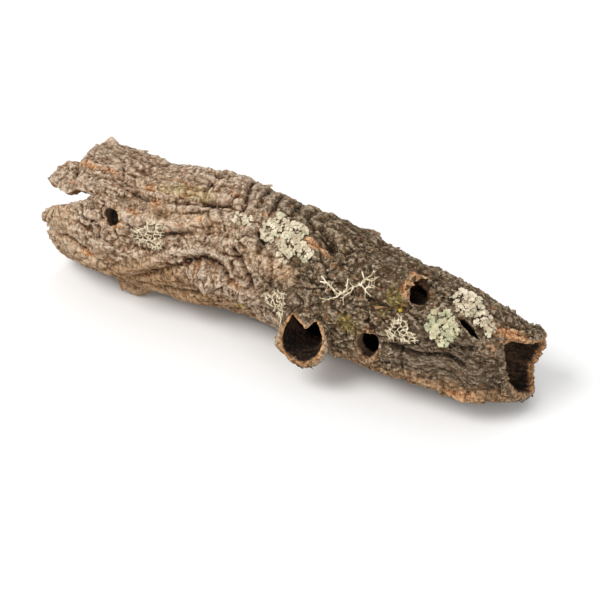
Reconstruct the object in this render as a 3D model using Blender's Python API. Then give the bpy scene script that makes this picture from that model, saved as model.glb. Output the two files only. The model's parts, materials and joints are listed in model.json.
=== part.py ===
"""A hollow tube of cork-oak bark, about 30 cm long, with the lichens that grow on it.

The tube lies along X on three low spots of its underside, with its narrow end at +X.
A place on it is given by x in mm and an angle round the tube in degrees: 0 faces -Y,
90 faces up, 180 faces +Y and -90 faces down.
"""
import math
import random

import bmesh
import bpy
import numpy as np
from mathutils import Vector, noise
from mathutils.bvhtree import BVHTree

MM = 0.001

# Tube: x, y of the centre line, mean outer radius
SPINE = (
    (-150, 16.9, 25.5), (-137, 14.9, 31.6), (-115, 10.0, 36.2), (-80, 6.0, 35.6),
    (-50, 7.6, 36.2), (-22, 10.4, 34.8), (0, 6.2, 35.0), (25, -0.6, 35.0),
    (60, -5.0, 32.2), (100, -7.8, 29.4), (120, -8.8, 27.0), (138, -4.6, 22.4),
    (150, -0.1, 19.0),
)
HALF_LENGTH = 150.0
UNDERSIDE = 3.6
WALL_LEFT = 7.4
WALL_RIGHT = 4.6
WALL_LEAST = 2.4

# Broken ends: angle, x of the edge
LEFT_END = (
    (-180, -128), (-150, -131), (-125, -130), (-90, -135), (-60, -139), (-38, -142),
    (-20, -143), (-4, -141), (8, -146), (30, -150), (58, -152), (76, -150), (98, -132),
    (115, -121), (135, -120), (160, -125), (180, -128),
)
RIGHT_END = (
    (-180, 148), (-140, 144), (-90, 149), (-60, 149), (-35, 146), (-10, 143), (15, 140.5),
    (40, 138), (55, 135.5), (61, 137), (67, 140), (72, 145), (80, 148), (108, 151),
    (150, 147), (180, 148),
)
END_REACH = 0.42
JAGGED = 1.6

# Places where the left end is broken back, as outlines of (x, angle)
BREAKS = {
    "notch between the prong and the lobe": (
        (-107, 44.5), (-112, 38), (-117.5, 34), (-123, 29.5), (-130, 27), (-137, 24),
        (-142, 21), (-147, 17), (-160, 15), (-160, 66), (-152, 64), (-147, 56), (-139, 47),
        (-132, 42), (-126, 39), (-122, 41.5), (-119, 45.5), (-113, 46)),
    "shoulder over the prong": (
        (-124, 77), (-131, 71), (-140, 73), (-149, 74), (-160, 70), (-160, 130),
        (-134, 130), (-121, 104), (-123, 90)),
    "nick over the lower flap": (
        (-134, -3), (-139, -1), (-145, 2), (-158, 4), (-158, -9), (-146, -8), (-140, -6)),
}
# Split near the right end
SPLIT = ((-2.0, 0.0), (1.5, 3.0), (8.0, 2.2), (14.5, -1.5), (8.5, -2.4), (2.0, -1.0))
SPLIT_PLACE = (110.5, 61.0)
SPLIT_FALL = -0.78

# Knobs and hollows: x, angle, half length, half width, height
SWELLINGS = {
    "knob on top of the left end": (-116, 104, 3.2, 3.4, 4.6),
    "lump at the tip of the prong": (-141, 58, 9, 8, 2.6),
    "hump behind the upper prong": (-123, 84, 9, 9, 2.6),
    "smooth lobe between the notches": (-134, 16, 14, 13, 2.4),
    "lip round the left knot hole": (-92, 33, 8, 8, 2.2),
    "orange flake left of the top patch": (-77, 70, 6, 5, 1.6),
    "pit beside the flake": (-63, 51, 5, 4, -3.2),
    "hollow over the left knot hole": (-84, 52, 8, 5, -1.6),
    "trench under the left sprig": (-66, 14, 14, 5, -3.4),
    "chin": (-31, -2, 9, 8, 5.2),
    "small knob under the chin": (-44, -32, 8, 5, 2.6),
    "bulge right of the chin": (-9, -6, 11, 9, 3.4),
    "block beside the crevice": (0, 32, 8, 9, 3.0),
    "knob left of the crevice": (-15, 44, 7, 6, 2.4),
    "pale panel": (15, 33, 9, 6, 1.8),
    "pocket behind the orange flake": (34, 76, 6, 5, -4.0),
    "orange flake": (25, 68, 6, 3.5, 2.6),
    "swelling round the heart-shaped stub": (28, -4, 17, 15, 4.0),
    "swelling round the right knot hole": (71, 2, 13, 12, 2.6),
    "root of the hood": (66, 66, 15, 12, 4.2),
    "roof of the hood": (76, 80, 10, 7, 3.2),
    "front of the hood": (80, 52, 8, 5, 2.0),
    "step in the top line": (47, 126, 6, 7, 3.0),
    "bump after the step": (66, 120, 5, 5, 2.4),
    "bump near the right end": (106, 108, 4, 5, 1.6),
    "knob on the right lip": (129, 47, 8, 7, 3.6),
    "hollow in the swirl": (117, 20, 7, 4, -2.2),
    "knot in the swirl": (128, 4, 6, 5, 2.0),
    "belly of the narrow end": (129, -30, 15, 9, 3.6),
    "low side of the narrow half": (92, -32, 38, 13, 1.8),
    "boss on the back": (-58, 190, 16, 12, 4.0),
    "hollow on the back": (-12, 165, 18, 9, -2.8),
    "knot on the back": (52, 200, 9, 9, 3.6),
    "hollow low on the back": (92, 215, 14, 7, -2.4),
    "hump low on the back": (-100, 222, 12, 9, 3.0),
}
# Cracks and ridges: half width, height, then x, angle along the line
CREASES = {
    "edge over the lower flap": (1.8, -3.0, ((-142, -4), (-129, -3), (-117, 0), (-110, -5),
                                             (-102, -13), (-92, -22))),
    "furrow above the ridge": (2.4, -2.4, ((-84, 62), (-66, 60), (-48, 68), (-30, 71))),
    "long ridge": (3.4, 2.8, ((-84, 38), (-66, 39), (-51, 42), (-38, 50), (-22, 60))),
    "under the long ridge": (2.0, -2.2, ((-74, 24), (-58, 30), (-44, 38))),
    "edge of the lower fold": (2.6, 2.6, ((-86, -14), (-70, -2), (-52, 18), (-36, 24))),
    "below the lower fold": (2.2, -2.0, ((-76, -20), (-58, -2), (-42, 12))),
    "furrow under the chin": (2.2, -3.0, ((-77, -33), (-56, -26), (-36, -18))),
    "left of the chin": (2.2, -3.6, ((-42, 12), (-33, 19), (-24, 14), (-18, 4))),
    "crevice": (2.6, -5.2, ((-6, 56), (-3, 50), (-3, 42))),
    "neck of the prong": (2.4, -2.8, ((-127, 84), (-127, 70), (-124, 58))),
    "crease left of the block": (2.0, -3.2, ((-18, 34), (-12, 26), (-7, 17), (-4, 8))),
    "crease right of the block": (1.8, -2.2, ((6, 40), (9, 28), (8, 18))),
    "first wrinkle": (1.7, -2.4, ((-47, 96), (-46, 80), (-42, 66))),
    "second wrinkle": (1.7, -2.6, ((-28, 112), (-25, 94), (-21, 70))),
    "third wrinkle": (1.7, -2.6, ((-18, 116), (-16, 98), (-14, 80))),
    "fourth wrinkle": (1.7, -2.8, ((-10, 120), (-8, 100), (-5, 82))),
    "fifth wrinkle": (1.7, -2.6, ((3, 122), (4, 103), (6, 88))),
    "sixth wrinkle": (1.6, -2.2, ((14, 122), (15, 106), (14, 92))),
    "behind the flake": (2.2, -3.0, ((26, 88), (34, 82), (38, 70))),
    "right of the hood": (2.2, -2.4, ((66, 44), (78, 42), (92, 54))),
    "long wrinkle of the right end": (1.8, -2.6, ((84, 8), (99, 10), (111, 17), (121, 15))),
    "second wrinkle of the right end": (1.6, -2.0, ((101, 27), (114, 32), (124, 36))),
    "edge of the underside": (2.4, 1.8, ((80, -18), (100, -22), (127, -26))),
    "back crack": (2.2, -3.0, ((-105, 172), (-70, 165), (-30, 176), (10, 190))),
    "back ridge": (3.6, 2.8, ((-40, 212), (0, 208), (44, 226), (88, 236))),
    "short back crack": (2.0, -2.6, ((60, 160), (82, 168), (112, 160))),
    "top ridge": (3.2, 2.0, ((-100, 118), (-60, 112), (-34, 124))),
}
# Three low spots that the tube lies on: x, angle
FEET = ((-88, -68), (-84, -116), (96, -90))
FOOT_HEIGHT = 6.8
FOOT_SIZE = 10.0

# Broken branch stubs: base (x, angle, depth below the surface), mouth (x, angle, height),
# radius at the base, at the mouth and of the bore, lean of the mouth, lumps
HEART_STUB = ((33, -13, 5.5), (34, -12, 9.5), 15.8, 14.2, 11.5, 0.42, 2.0)
HOOD_STUB = ((68, 77, 6.5), (88, 67, 4.5), 12.4, 8.4, 5.8, -0.12, 2.6)
# Knot holes: x, angle, angle of the bore, half length, half height
KNOT_HOLES = (
    (-91, 34, 36, 4.3, 4.6),
    (70, 0, 18, 5.6, 8.2),
)
# Leafy lichens: x, angle, half length, half width, tail length, tail direction, turn
LEAFY = {
    "leafy_lichen_middle": (12, 58, 16.5, 9.6, 3.0, -60, 10),
    "leafy_lichen_lower": (103.5, 46, 8.2, 8.6, 0.0, 0, 25),
    "leafy_lichen_upper": (114.5, 77.5, 6.4, 7.2, 6.5, -12, 60),
    "crust_lichen": (-18, 60, 5.2, 3.8, 0.0, 0, 15),
}
LEAFY_THICK = 1.2
LEAFY_LIFT = 0.45
SPOKE_GAP = 1.25
RINGS = 4
LOBE_SPOKES = 4

# Shrubby lichens: x, angle, reach along, reach round, branches, seed
SHRUBBY = {
    "twig_lichen_left": (-65, 28, 11.0, 8.5, 8, 4),
    "twig_lichen_stub": (13, 8, 7.5, 8.0, 9, 11),
    "twig_lichen_sprig": (53, 44, 15.5, 7.0, 8, 7),
    "twig_lichen_right": (86, 26, 9.5, 6.5, 8, 15),
}
TWIG_ROOT = 0.75
TWIG_TIP = 0.42
TWIG_LIFT = 0.5

# Clear gap that a lichen keeps to the bark, and the steps in which it is lifted
SEAT_GAP = 0.28
LIFT_STEP = 0.08
LIFT_ROUNDS = 40

BARK_TRIANGLES = 8800
ALONG = 176
AROUND = 160
INNER_ALONG = 44


def clear_scene():
    for item in list(bpy.data.objects):
        bpy.data.objects.remove(item, do_unlink=True)


def new_collection(name):
    group = bpy.data.collections.new(name)
    bpy.context.scene.collection.children.link(group)
    return group


def material(name, colour, roughness):
    """A plain matt finish; colour is linear RGB."""
    finish = bpy.data.materials.new(name)
    finish.use_nodes = True
    shader = finish.node_tree.nodes["Principled BSDF"]
    shader.inputs["Base Color"].default_value = (*colour, 1.0)
    shader.inputs["Roughness"].default_value = roughness
    shader.inputs["Metallic"].default_value = 0.0
    return finish


def mesh_object(name, points, faces, group, finish=None):
    """An object from points in mm."""
    mesh = bpy.data.meshes.new(name)
    mesh.from_pydata([tuple(c * MM for c in p) for p in points], [], faces)
    mesh.update()
    if finish is not None:
        mesh.materials.append(finish)
    item = bpy.data.objects.new(name, mesh)
    group.objects.link(item)
    return item


def smooth_through(stations, x):
    """Smooth curve through stations (x, value), flat past both ends."""
    xs = np.array([s[0] for s in stations], dtype=float)
    ys = np.array([s[1] for s in stations], dtype=float)
    slopes = np.gradient(ys, xs)
    x = np.clip(x, xs[0], xs[-1])
    k = np.clip(np.searchsorted(xs, x, side="right") - 1, 0, len(xs) - 2)
    span = xs[k + 1] - xs[k]
    t = (x - xs[k]) / span
    rise = ys[k] * (2 * t**3 - 3 * t**2 + 1) + ys[k + 1] * (3 * t**2 - 2 * t**3)
    turn = slopes[k] * (t**3 - 2 * t**2 + t) + slopes[k + 1] * (t**3 - t**2)
    return rise + turn * span


def spine(x):
    """Centre (y, z) and mean outer radius of the tube at x."""
    y = smooth_through([(s[0], s[1]) for s in SPINE], x)
    radius = smooth_through([(s[0], s[2]) for s in SPINE], x)
    return y, radius + UNDERSIDE, radius


def end_line(stations, angle):
    """x of a broken end at each angle in degrees."""
    angles = [s[0] for s in stations]
    edges = [s[1] for s in stations]
    return np.interp(angle, angles, edges)


def tube_point(x, angle, radius):
    """Point at an angle in degrees and a radius from the centre line."""
    y, z, _ = spine(x)
    turn = np.radians(angle)
    return np.stack([x, y - radius * np.cos(turn), z + radius * np.sin(turn)], axis=-1)


def outward(angle):
    turn = math.radians(angle)
    return Vector((0.0, -math.cos(turn), math.sin(turn)))


def wrap(angle):
    """The same angle between -180 and 180."""
    return (np.asarray(angle) + 180.0) % 360.0 - 180.0


def on_cylinder(x, angle, along, around, seed):
    """Noise coordinates on a seamless cylinder, stretched along or round it."""
    _, _, radius = spine(x)
    turn = np.radians(angle)
    flat = np.stack([x / along, radius * np.cos(turn) / around,
                     radius * np.sin(turn) / around], axis=-1)
    return flat.reshape(-1, 3) + seed * 17.3


def grain(x, angle, along, around, seed, octaves=1):
    """Smooth noise between about -1 and 1."""
    places = on_cylinder(x, angle, along, around, seed)
    if octaves == 1:
        values = [noise.noise(Vector(p)) for p in places]
    else:
        values = [noise.fractal(Vector(p), 0.8, 2.1, octaves) for p in places]
    return np.array(values).reshape(np.shape(x))


def plate_cracks(x, angle, along, around, seed, width):
    """1 in the cracks between plates, 0 on the plates."""
    places = on_cylinder(x, angle, along, around, seed)
    gaps = []
    for p in places:
        place = Vector(p)
        sway = [noise.noise(place * 1.3 + Vector((0.0, 0.0, 9.0 * k))) for k in range(3)]
        nearest = noise.voronoi(place + Vector(sway) * 0.35)[0]
        gaps.append(nearest[1] - nearest[0])
    gaps = np.array(gaps).reshape(np.shape(x))
    return np.exp(-(gaps / width) ** 2)


def bump_field(x, angle):
    """Sum of the knobs and hollows."""
    _, _, radius = spine(x)
    total = np.zeros(np.shape(x))
    for bx, ba, half_x, half_v, height in SWELLINGS.values():
        v = np.radians(wrap(angle - ba)) * radius
        total += height * np.exp(-((x - bx) / half_x) ** 2 - (v / half_v) ** 2)
    return total


def crease_field(x, angle):
    """Sum of the cracks and ridges, each the deepest at its line."""
    _, _, radius = spine(x)
    total = np.zeros(np.shape(x))
    for half_width, height, line in CREASES.values():
        nearest = np.full(np.shape(x), 1e6)
        for (x0, a0), (x1, a1) in zip(line, line[1:]):
            u = x - x0
            v = np.radians(wrap(angle - a0)) * radius
            run = x1 - x0
            rise = math.radians(a1 - a0) * radius
            t = np.clip((u * run + v * rise) / (run**2 + rise**2), 0.0, 1.0)
            nearest = np.minimum(nearest, np.hypot(u - t * run, v - t * rise))
        total += height * np.exp(-(nearest / half_width) ** 2)
    return total


def foot_field(x, angle):
    """Height of the three low spots."""
    _, _, radius = spine(x)
    total = np.zeros(np.shape(x))
    for fx, fa in FEET:
        v = np.radians(wrap(angle - fa)) * radius
        near = ((x - fx) / FOOT_SIZE) ** 2 + (v / FOOT_SIZE) ** 2
        total = np.maximum(total, FOOT_HEIGHT * np.exp(-near**2))
    return total


def seat_field(x, angle):
    """1 under a lichen, where the bark is smoother, falling to 0 round it."""
    _, _, radius = spine(x)
    total = np.zeros(np.shape(x))
    seats = [(s[0], s[1], s[2], s[3]) for s in LEAFY.values()]
    for sx, sa, half_x, half_v in seats:
        v = np.radians(wrap(angle - sa)) * radius
        near = ((x - sx) / (half_x + 1.0)) ** 2 + (v / (half_v + 1.0)) ** 2
        total = np.maximum(total, np.exp(-near**3))
    return total


def slow_shape(x, angle):
    """Large lumps that the whole wall follows, inside and out."""
    return 2.4 * grain(x, angle, 46, 34, 1)


def bark_relief(x, angle):
    """Height of the corky surface over the slow shape."""
    left = 1.0 / (1.0 + np.exp((x + 5.0) / 14.0))
    top = np.exp(-((wrap(angle - 95)) / 34.0) ** 2)
    middle = np.exp(-((x + 5.0) / 44.0) ** 2)
    ridges = 1.0 - 2.2 * np.abs(grain(x, angle, 62, 11, 2))
    rings = 1.0 - 2.2 * np.abs(grain(x, angle, 8.5, 40, 3))
    rough = grain(x, angle, 7.0, 6.0, 4, octaves=3)
    cracks = plate_cracks(x, angle, 13, 10, 5, 0.16)
    broken = np.clip(0.45 + 1.8 * grain(x, angle, 26, 18, 9), 0.0, 1.0)
    height = (0.4 + 0.8 * left) * ridges + (0.25 + 1.1 * top * middle) * rings
    height += 0.9 * rough - (1.4 + 0.5 * middle) * cracks * broken
    under = np.exp(-((wrap(angle + 90)) / 42.0) ** 2)
    height *= (1.0 - 0.72 * seat_field(x, angle)) * (1.0 - 0.45 * under)
    return height + bump_field(x, angle) + crease_field(x, angle)


def outer_radius(x, angle):
    _, _, radius = spine(x)
    return radius + slow_shape(x, angle) + bark_relief(x, angle) + foot_field(x, angle)


def inner_radius(x, angle, outside):
    """Wall of the bore, never closer than the least wall to the outside."""
    _, _, radius = spine(x)
    wall = np.interp(x, (-HALF_LENGTH, HALF_LENGTH), (WALL_LEFT, WALL_RIGHT))
    wall = wall + 0.9 * grain(x, angle, 40, 16, 6)
    inside = radius + slow_shape(x, angle) - wall
    return np.minimum(inside, outside - WALL_LEAST)


def grid_x(share, angle):
    """x at a share of the length, drawn to the broken ends."""
    jag = JAGGED * grain(np.zeros(np.shape(angle)), angle, 1.0, 3.2, 7, octaves=2)
    left = end_line(LEFT_END, angle) + jag
    right = end_line(RIGHT_END, angle) - jag * 0.7
    near_left = np.clip(1.0 - share / END_REACH, 0.0, 1.0) ** 1.5
    near_right = np.clip(1.0 - (1.0 - share) / END_REACH, 0.0, 1.0) ** 1.5
    middle = -HALF_LENGTH + 2.0 * HALF_LENGTH * share
    return middle + (left + HALF_LENGTH) * near_left + (right - HALF_LENGTH) * near_right


def bark_shell(group, finish):
    """Outer surface, rims and bore as one closed loft between unlike sections."""
    angles = np.arange(AROUND) * 360.0 / AROUND - 180.0
    outer_share = np.linspace(0.0, 1.0, ALONG)
    inner_share = np.linspace(0.0, 1.0, INNER_ALONG)
    rows = []
    for share in outer_share:
        x = grid_x(share, angles)
        rows.append(tube_point(x, angles, outer_radius(x, angles)))
    inner_rows = []
    for share in inner_share:
        x = grid_x(share, angles)
        outside = outer_radius(x, angles)
        inner_rows.append(tube_point(x, angles, inner_radius(x, angles, outside)))
    bulge = np.array((1.3, 0.0, 0.0))
    right_rim = [0.7 * rows[-1] + 0.3 * inner_rows[-1] + bulge,
                 0.3 * rows[-1] + 0.7 * inner_rows[-1] + 0.6 * bulge]
    left_rim = [0.3 * rows[0] + 0.7 * inner_rows[0] - bulge,
                0.7 * rows[0] + 0.3 * inner_rows[0] - bulge]
    rings = rows + right_rim + inner_rows[::-1] + left_rim
    points = [tuple(p) for ring in rings for p in ring]
    faces = []
    count = len(rings)
    for i in range(count):
        for j in range(AROUND):
            k = (j + 1) % AROUND
            n = (i + 1) % count
            faces.append((i * AROUND + j, i * AROUND + k, n * AROUND + k, n * AROUND + j))
    return mesh_object("bark_tube", points, faces, group, finish)


def stub_axis(stub):
    """Base point, mouth point and axis of a branch stub."""
    (bx, ba, depth), (mx, ma, height) = stub[0], stub[1]
    base = Vector(tube_point(np.array(float(bx)), ba, spine(bx)[2] - depth))
    mouth = Vector(tube_point(np.array(float(mx)), ma, spine(mx)[2] + height))
    return base, mouth, (mouth - base).normalized()


def lumpy_cone(name, start, end, r_start, r_end, group, lean=0.0, lumps=0.0, seed=0):
    """A closed cone with a lumpy side; lean slopes its mouth back at the top."""
    around = 30
    along = 7
    axis = (end - start).normalized()
    side = axis.cross(Vector((0.0, 0.0, 1.0))).normalized()
    up = side.cross(axis)
    points = []
    for i in range(along):
        t = i / (along - 1)
        for j in range(around):
            turn = 2.0 * math.pi * j / around
            aim = side * math.cos(turn) + up * math.sin(turn)
            push = lumps * noise.noise(aim * 1.9 + Vector((t * 1.6, seed, 0.0)))
            tip = lumps * 0.7 * noise.noise(aim * 3.1 + Vector((seed, 5.0, 0.0)))
            radius = r_start + (r_end - r_start) * t + push
            tip -= lean * radius * math.sin(turn)
            points.append(start.lerp(end, t) + aim * radius + axis * tip * t * t)
    faces = [tuple(range(around))]
    for i in range(along - 1):
        for j in range(around):
            k = (j + 1) % around
            low = i * around
            faces.append((low + j, low + k, low + around + k, low + around + j))
    last = (along - 1) * around
    faces.append(tuple(range(last, last + around)))
    item = mesh_object(name, points, faces, group)
    outward_faces(item)
    return item


def outward_faces(item):
    """Triangles with their normals pointing out."""
    work = bmesh.new()
    work.from_mesh(item.data)
    bmesh.ops.triangulate(work, faces=work.faces)
    bmesh.ops.recalc_face_normals(work, faces=work.faces)
    work.to_mesh(item.data)
    work.free()


def heart_cutter(group):
    """Bore of the front stub: round, with a tooth of bark left hanging at its top."""
    base, mouth, axis = stub_axis(HEART_STUB)
    bore = HEART_STUB[4]
    side = axis.cross(Vector((0.0, 0.0, 1.0))).normalized()
    up = side.cross(axis)
    around = 32
    start = base - axis * 12.0
    end = mouth + axis * 14.0
    points = []
    for t in (0.0, 1.0):
        for j in range(around):
            turn = 360.0 * j / around
            off_top = abs((turn + 180.0) % 360.0 - 180.0)
            tooth = 0.72 * math.exp(-(off_top / 24.0) ** 2)
            swell = 1.0 + 0.12 * math.exp(-((off_top - 46.0) / 20.0) ** 2)
            radius = bore * (swell - tooth)
            aim = up * math.cos(math.radians(turn)) + side * math.sin(math.radians(turn))
            points.append(start.lerp(end, t) + aim * radius)
    faces = [tuple(range(around)), tuple(range(around, 2 * around))]
    for j in range(around):
        k = (j + 1) % around
        faces.append((j, k, around + k, around + j))
    item = mesh_object("cutter_heart_bore", points, faces, group)
    outward_faces(item)
    return item


def hole_cutter(name, hole, group):
    """An oval bore through the wall for a knot hole."""
    x, angle, aim_angle, half_x, half_v = hole
    centre = Vector(tube_point(np.array(float(x)), angle, spine(x)[2]))
    aim = outward(aim_angle)
    across = aim.cross(Vector((1.0, 0.0, 0.0)))
    around = 20
    points = []
    for depth, scale in ((-15.0, 0.8), (-3.0, 0.9), (9.0, 1.25)):
        for j in range(around):
            turn = 2.0 * math.pi * j / around
            wobble = 1.0 + 0.12 * math.sin(2.0 * turn + x) + 0.07 * math.sin(3.0 * turn)
            place = centre + aim * depth
            place = place + Vector((half_x * scale * wobble * math.cos(turn), 0.0, 0.0))
            points.append(place + across * half_v * scale * wobble * math.sin(turn))
    faces = [tuple(range(around)), tuple(range(2 * around, 3 * around))]
    for ring in (0, 1):
        for j in range(around):
            k = (j + 1) % around
            low = ring * around
            faces.append((low + j, low + k, low + around + k, low + around + j))
    item = mesh_object(name, points, faces, group)
    outward_faces(item)
    return item


def wall_cutter(name, outline, group, deep=16.0, high=22.0):
    """A prism through the wall from an outline of (x, angle), its sides on radii."""
    count = len(outline)
    points = []
    for offset in (-deep, high):
        for x, angle in outline:
            radius = spine(x)[2] + offset
            points.append(tube_point(np.array(float(x)), angle, radius))
    faces = [tuple(range(count)), tuple(range(count, 2 * count))]
    for j in range(count):
        k = (j + 1) % count
        faces.append((j, k, count + k, count + j))
    item = mesh_object(name, points, faces, group)
    outward_faces(item)
    return item


def split_outline():
    """The split's outline in x and angle, along a line that falls to the right."""
    x0, a0 = SPLIT_PLACE
    radius = spine(x0)[2]
    return [(x0 + s, a0 + SPLIT_FALL * s + math.degrees(t / radius)) for s, t in SPLIT]


def floor_cutter(group):
    """A slab whose top is the surface that the tube lies on."""
    bpy.ops.mesh.primitive_cube_add(size=1.0)
    item = bpy.context.active_object
    item.name = "cutter_floor"
    item.scale = (0.4, 0.2, 0.03)
    item.location = (0.0, 0.0, -0.015)
    for owner in list(item.users_collection):
        owner.objects.unlink(item)
    group.objects.link(item)
    return item


def boolean(item, tool, operation, solver="EXACT"):
    change = item.modifiers.new(operation.lower(), "BOOLEAN")
    change.operation = operation
    change.solver = solver
    change.object = tool
    apply_modifiers(item)


def apply_modifiers(item):
    """Bake the modifiers into the object's own mesh."""
    bpy.context.view_layer.update()
    graph = bpy.context.evaluated_depsgraph_get()
    mesh = bpy.data.meshes.new_from_object(item.evaluated_get(graph))
    item.modifiers.clear()
    old = item.data
    item.data = mesh
    bpy.data.meshes.remove(old)
    item.data.name = item.name


def hide_tool(item):
    item.hide_render = True
    item.display_type = "WIRE"


def largest_body(item):
    """Keep the largest connected body and drop loose scraps."""
    work = bmesh.new()
    work.from_mesh(item.data)
    unseen = set(work.verts)
    bodies = []
    while unseen:
        stack = [unseen.pop()]
        body = []
        while stack:
            vertex = stack.pop()
            body.append(vertex)
            for edge in vertex.link_edges:
                other = edge.other_vert(vertex)
                if other in unseen:
                    unseen.remove(other)
                    stack.append(other)
        bodies.append(body)
    bodies.sort(key=len)
    scraps = [vertex for body in bodies[:-1] for vertex in body]
    bmesh.ops.delete(work, geom=scraps, context="VERTS")
    work.to_mesh(item.data)
    work.free()


def build_bark(parts, cutters):
    finish = material("cork_bark", (0.29, 0.20, 0.135), 0.93)
    bark = bark_shell(parts, finish)
    outward_faces(bark)
    for name, stub, seed in (("stub_heart", HEART_STUB, 2.0), ("stub_hood", HOOD_STUB, 6.0)):
        base, mouth, _ = stub_axis(stub)
        tool = lumpy_cone(name, base, mouth, stub[2], stub[3], cutters, stub[5], stub[6], seed)
        boolean(bark, tool, "UNION")
        hide_tool(tool)
    base, mouth, axis = stub_axis(HOOD_STUB)
    tools = [heart_cutter(cutters)]
    tools.append(lumpy_cone("cutter_hood_bore", base - axis * 16.0 + outward(60) * -9.0,
                            mouth + axis * 9.0, 5.0, HOOD_STUB[4] + 1.6, cutters))
    for i, hole in enumerate(KNOT_HOLES):
        tools.append(hole_cutter(f"cutter_knot_hole_{i + 1}", hole, cutters))
    tools.append(wall_cutter("cutter_split", split_outline(), cutters))
    for name, outline in BREAKS.items():
        tools.append(wall_cutter("cutter_" + name.replace(" ", "_"), outline, cutters))
    for tool in tools:
        boolean(bark, tool, "DIFFERENCE")
        hide_tool(tool)
    outward_faces(bark)
    thin = bark.modifiers.new("fewer faces", "DECIMATE")
    thin.ratio = BARK_TRIANGLES / len(bark.data.polygons)
    apply_modifiers(bark)
    floor = floor_cutter(cutters)
    boolean(bark, floor, "DIFFERENCE")
    hide_tool(floor)
    largest_body(bark)
    return bark


def bark_tree(bark):
    work = bmesh.new()
    work.from_mesh(bark.data)
    tree = BVHTree.FromBMesh(work)
    work.free()
    return tree


def bark_surface(tree, x, angle):
    """Radius of the built bark at x and angle, in mm."""
    far = Vector(tube_point(np.array(float(x)), angle, 80.0)) * MM
    hit, _, _, distance = tree.ray_cast(far, -outward(angle))
    return spine(x)[2] if hit is None else 80.0 - distance / MM


def highest_near(tree, x, angle, reach):
    """Highest radius of the bark within a small reach."""
    step = math.degrees(reach / spine(x)[2])
    around = ((0, 0), (reach, 0), (-reach, 0), (0, step), (0, -step))
    return max(bark_surface(tree, x + dx, angle + da) for dx, da in around)


def lift_clear(item, bark, tree):
    """Move vertices outwards until the whole piece is clear of the bark."""
    low = min(v.co.x for v in item.data.vertices) - 0.002
    high = max(v.co.x for v in item.data.vertices) + 0.002
    corners = bark.data.vertices
    below = [v.co.copy() for v in corners if low < v.co.x < high]
    for edge in bark.data.edges:
        middle = (corners[edge.vertices[0]].co + corners[edge.vertices[1]].co) * 0.5
        if low < middle.x < high:
            below.append(middle)
    for _ in range(LIFT_ROUNDS):
        work = bmesh.new()
        work.from_mesh(item.data)
        own = BVHTree.FromBMesh(work)
        work.faces.ensure_lookup_table()
        rising = {v for v in work.verts if tree.find_nearest(v.co, SEAT_GAP * MM)[0]}
        for face in work.faces:
            if tree.find_nearest(face.calc_center_median(), SEAT_GAP * MM)[0]:
                rising.update(face.verts)
        for face, _ in own.overlap(tree):
            rising.update(work.faces[face].verts)
        for point in below:
            hit, _, face, _ = own.find_nearest(point, SEAT_GAP * MM)
            if hit is not None:
                rising.update(work.faces[face].verts)
        for vertex in rising:
            y, z, _ = spine(vertex.co.x / MM)
            away = Vector((0.0, vertex.co.y - y * MM, vertex.co.z - z * MM)).normalized()
            vertex.co += away * LIFT_STEP * MM
        work.to_mesh(item.data)
        work.free()
        if not rising:
            return


def leafy_lichen(name, bark, tree, parts, finish):
    """A lobed leaf that follows the bark, its edge a little raised."""
    x0, a0, half_x, half_v, tail, tail_aim, turn = LEAFY[name]
    radius = spine(x0)[2]
    girth = math.pi * (half_x + half_v)
    spokes = LOBE_SPOKES * round(girth / SPOKE_GAP / LOBE_SPOKES)
    top = []
    low = []
    for ring in range(RINGS + 1):
        share = ring / RINGS
        for j in range(1 if ring == 0 else spokes):
            aim = 360.0 * j / spokes
            reach = half_x * half_v / math.hypot(half_v * math.cos(math.radians(aim)),
                                                 half_x * math.sin(math.radians(aim)))
            off_tail = float(wrap(aim - tail_aim))
            reach += tail * math.exp(-(off_tail / 26.0) ** 2)
            phase = (j + turn) % LOBE_SPOKES
            notch = (0.74, 1.0, 1.1, 0.99)[int(phase)]
            uneven = 1.0 + 0.16 * noise.noise(Vector((aim / 34.0, turn, 0.0)))
            reach *= (1.0 + (notch - 1.0) * share**2) * uneven
            s = share * reach * math.cos(math.radians(aim))
            t = share * reach * math.sin(math.radians(aim))
            x = x0 + s
            angle = a0 + math.degrees(t / radius)
            ripple = 0.35 * noise.noise(Vector((s / 3.0, t / 3.0, turn)))
            curl = 0.5 * share**3
            seat = highest_near(tree, x, angle, 1.2) + LEAFY_LIFT + curl + ripple
            low.append(Vector(tube_point(np.array(x), angle, seat)))
            top.append(Vector(tube_point(np.array(x), angle, seat + LEAFY_THICK)))
    count = len(low)
    faces = []
    for j in range(spokes):
        k = (j + 1) % spokes
        faces.append((0, 1 + j, 1 + k))
        faces.append((count, count + 1 + k, count + 1 + j))
    for ring in range(1, RINGS):
        a = 1 + (ring - 1) * spokes
        b = a + spokes
        for j in range(spokes):
            k = (j + 1) % spokes
            faces.append((a + j, b + j, b + k))
            faces.append((a + j, b + k, a + k))
            faces.append((count + a + j, count + b + k, count + b + j))
            faces.append((count + a + j, count + a + k, count + b + k))
    edge = 1 + (RINGS - 1) * spokes
    for j in range(spokes):
        k = (j + 1) % spokes
        faces.append((edge + j, count + edge + j, count + edge + k))
        faces.append((edge + j, count + edge + k, edge + k))
    item = mesh_object(name, low + top, faces, parts, finish)
    outward_faces(item)
    lift_clear(item, bark, tree)
    return item


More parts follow.
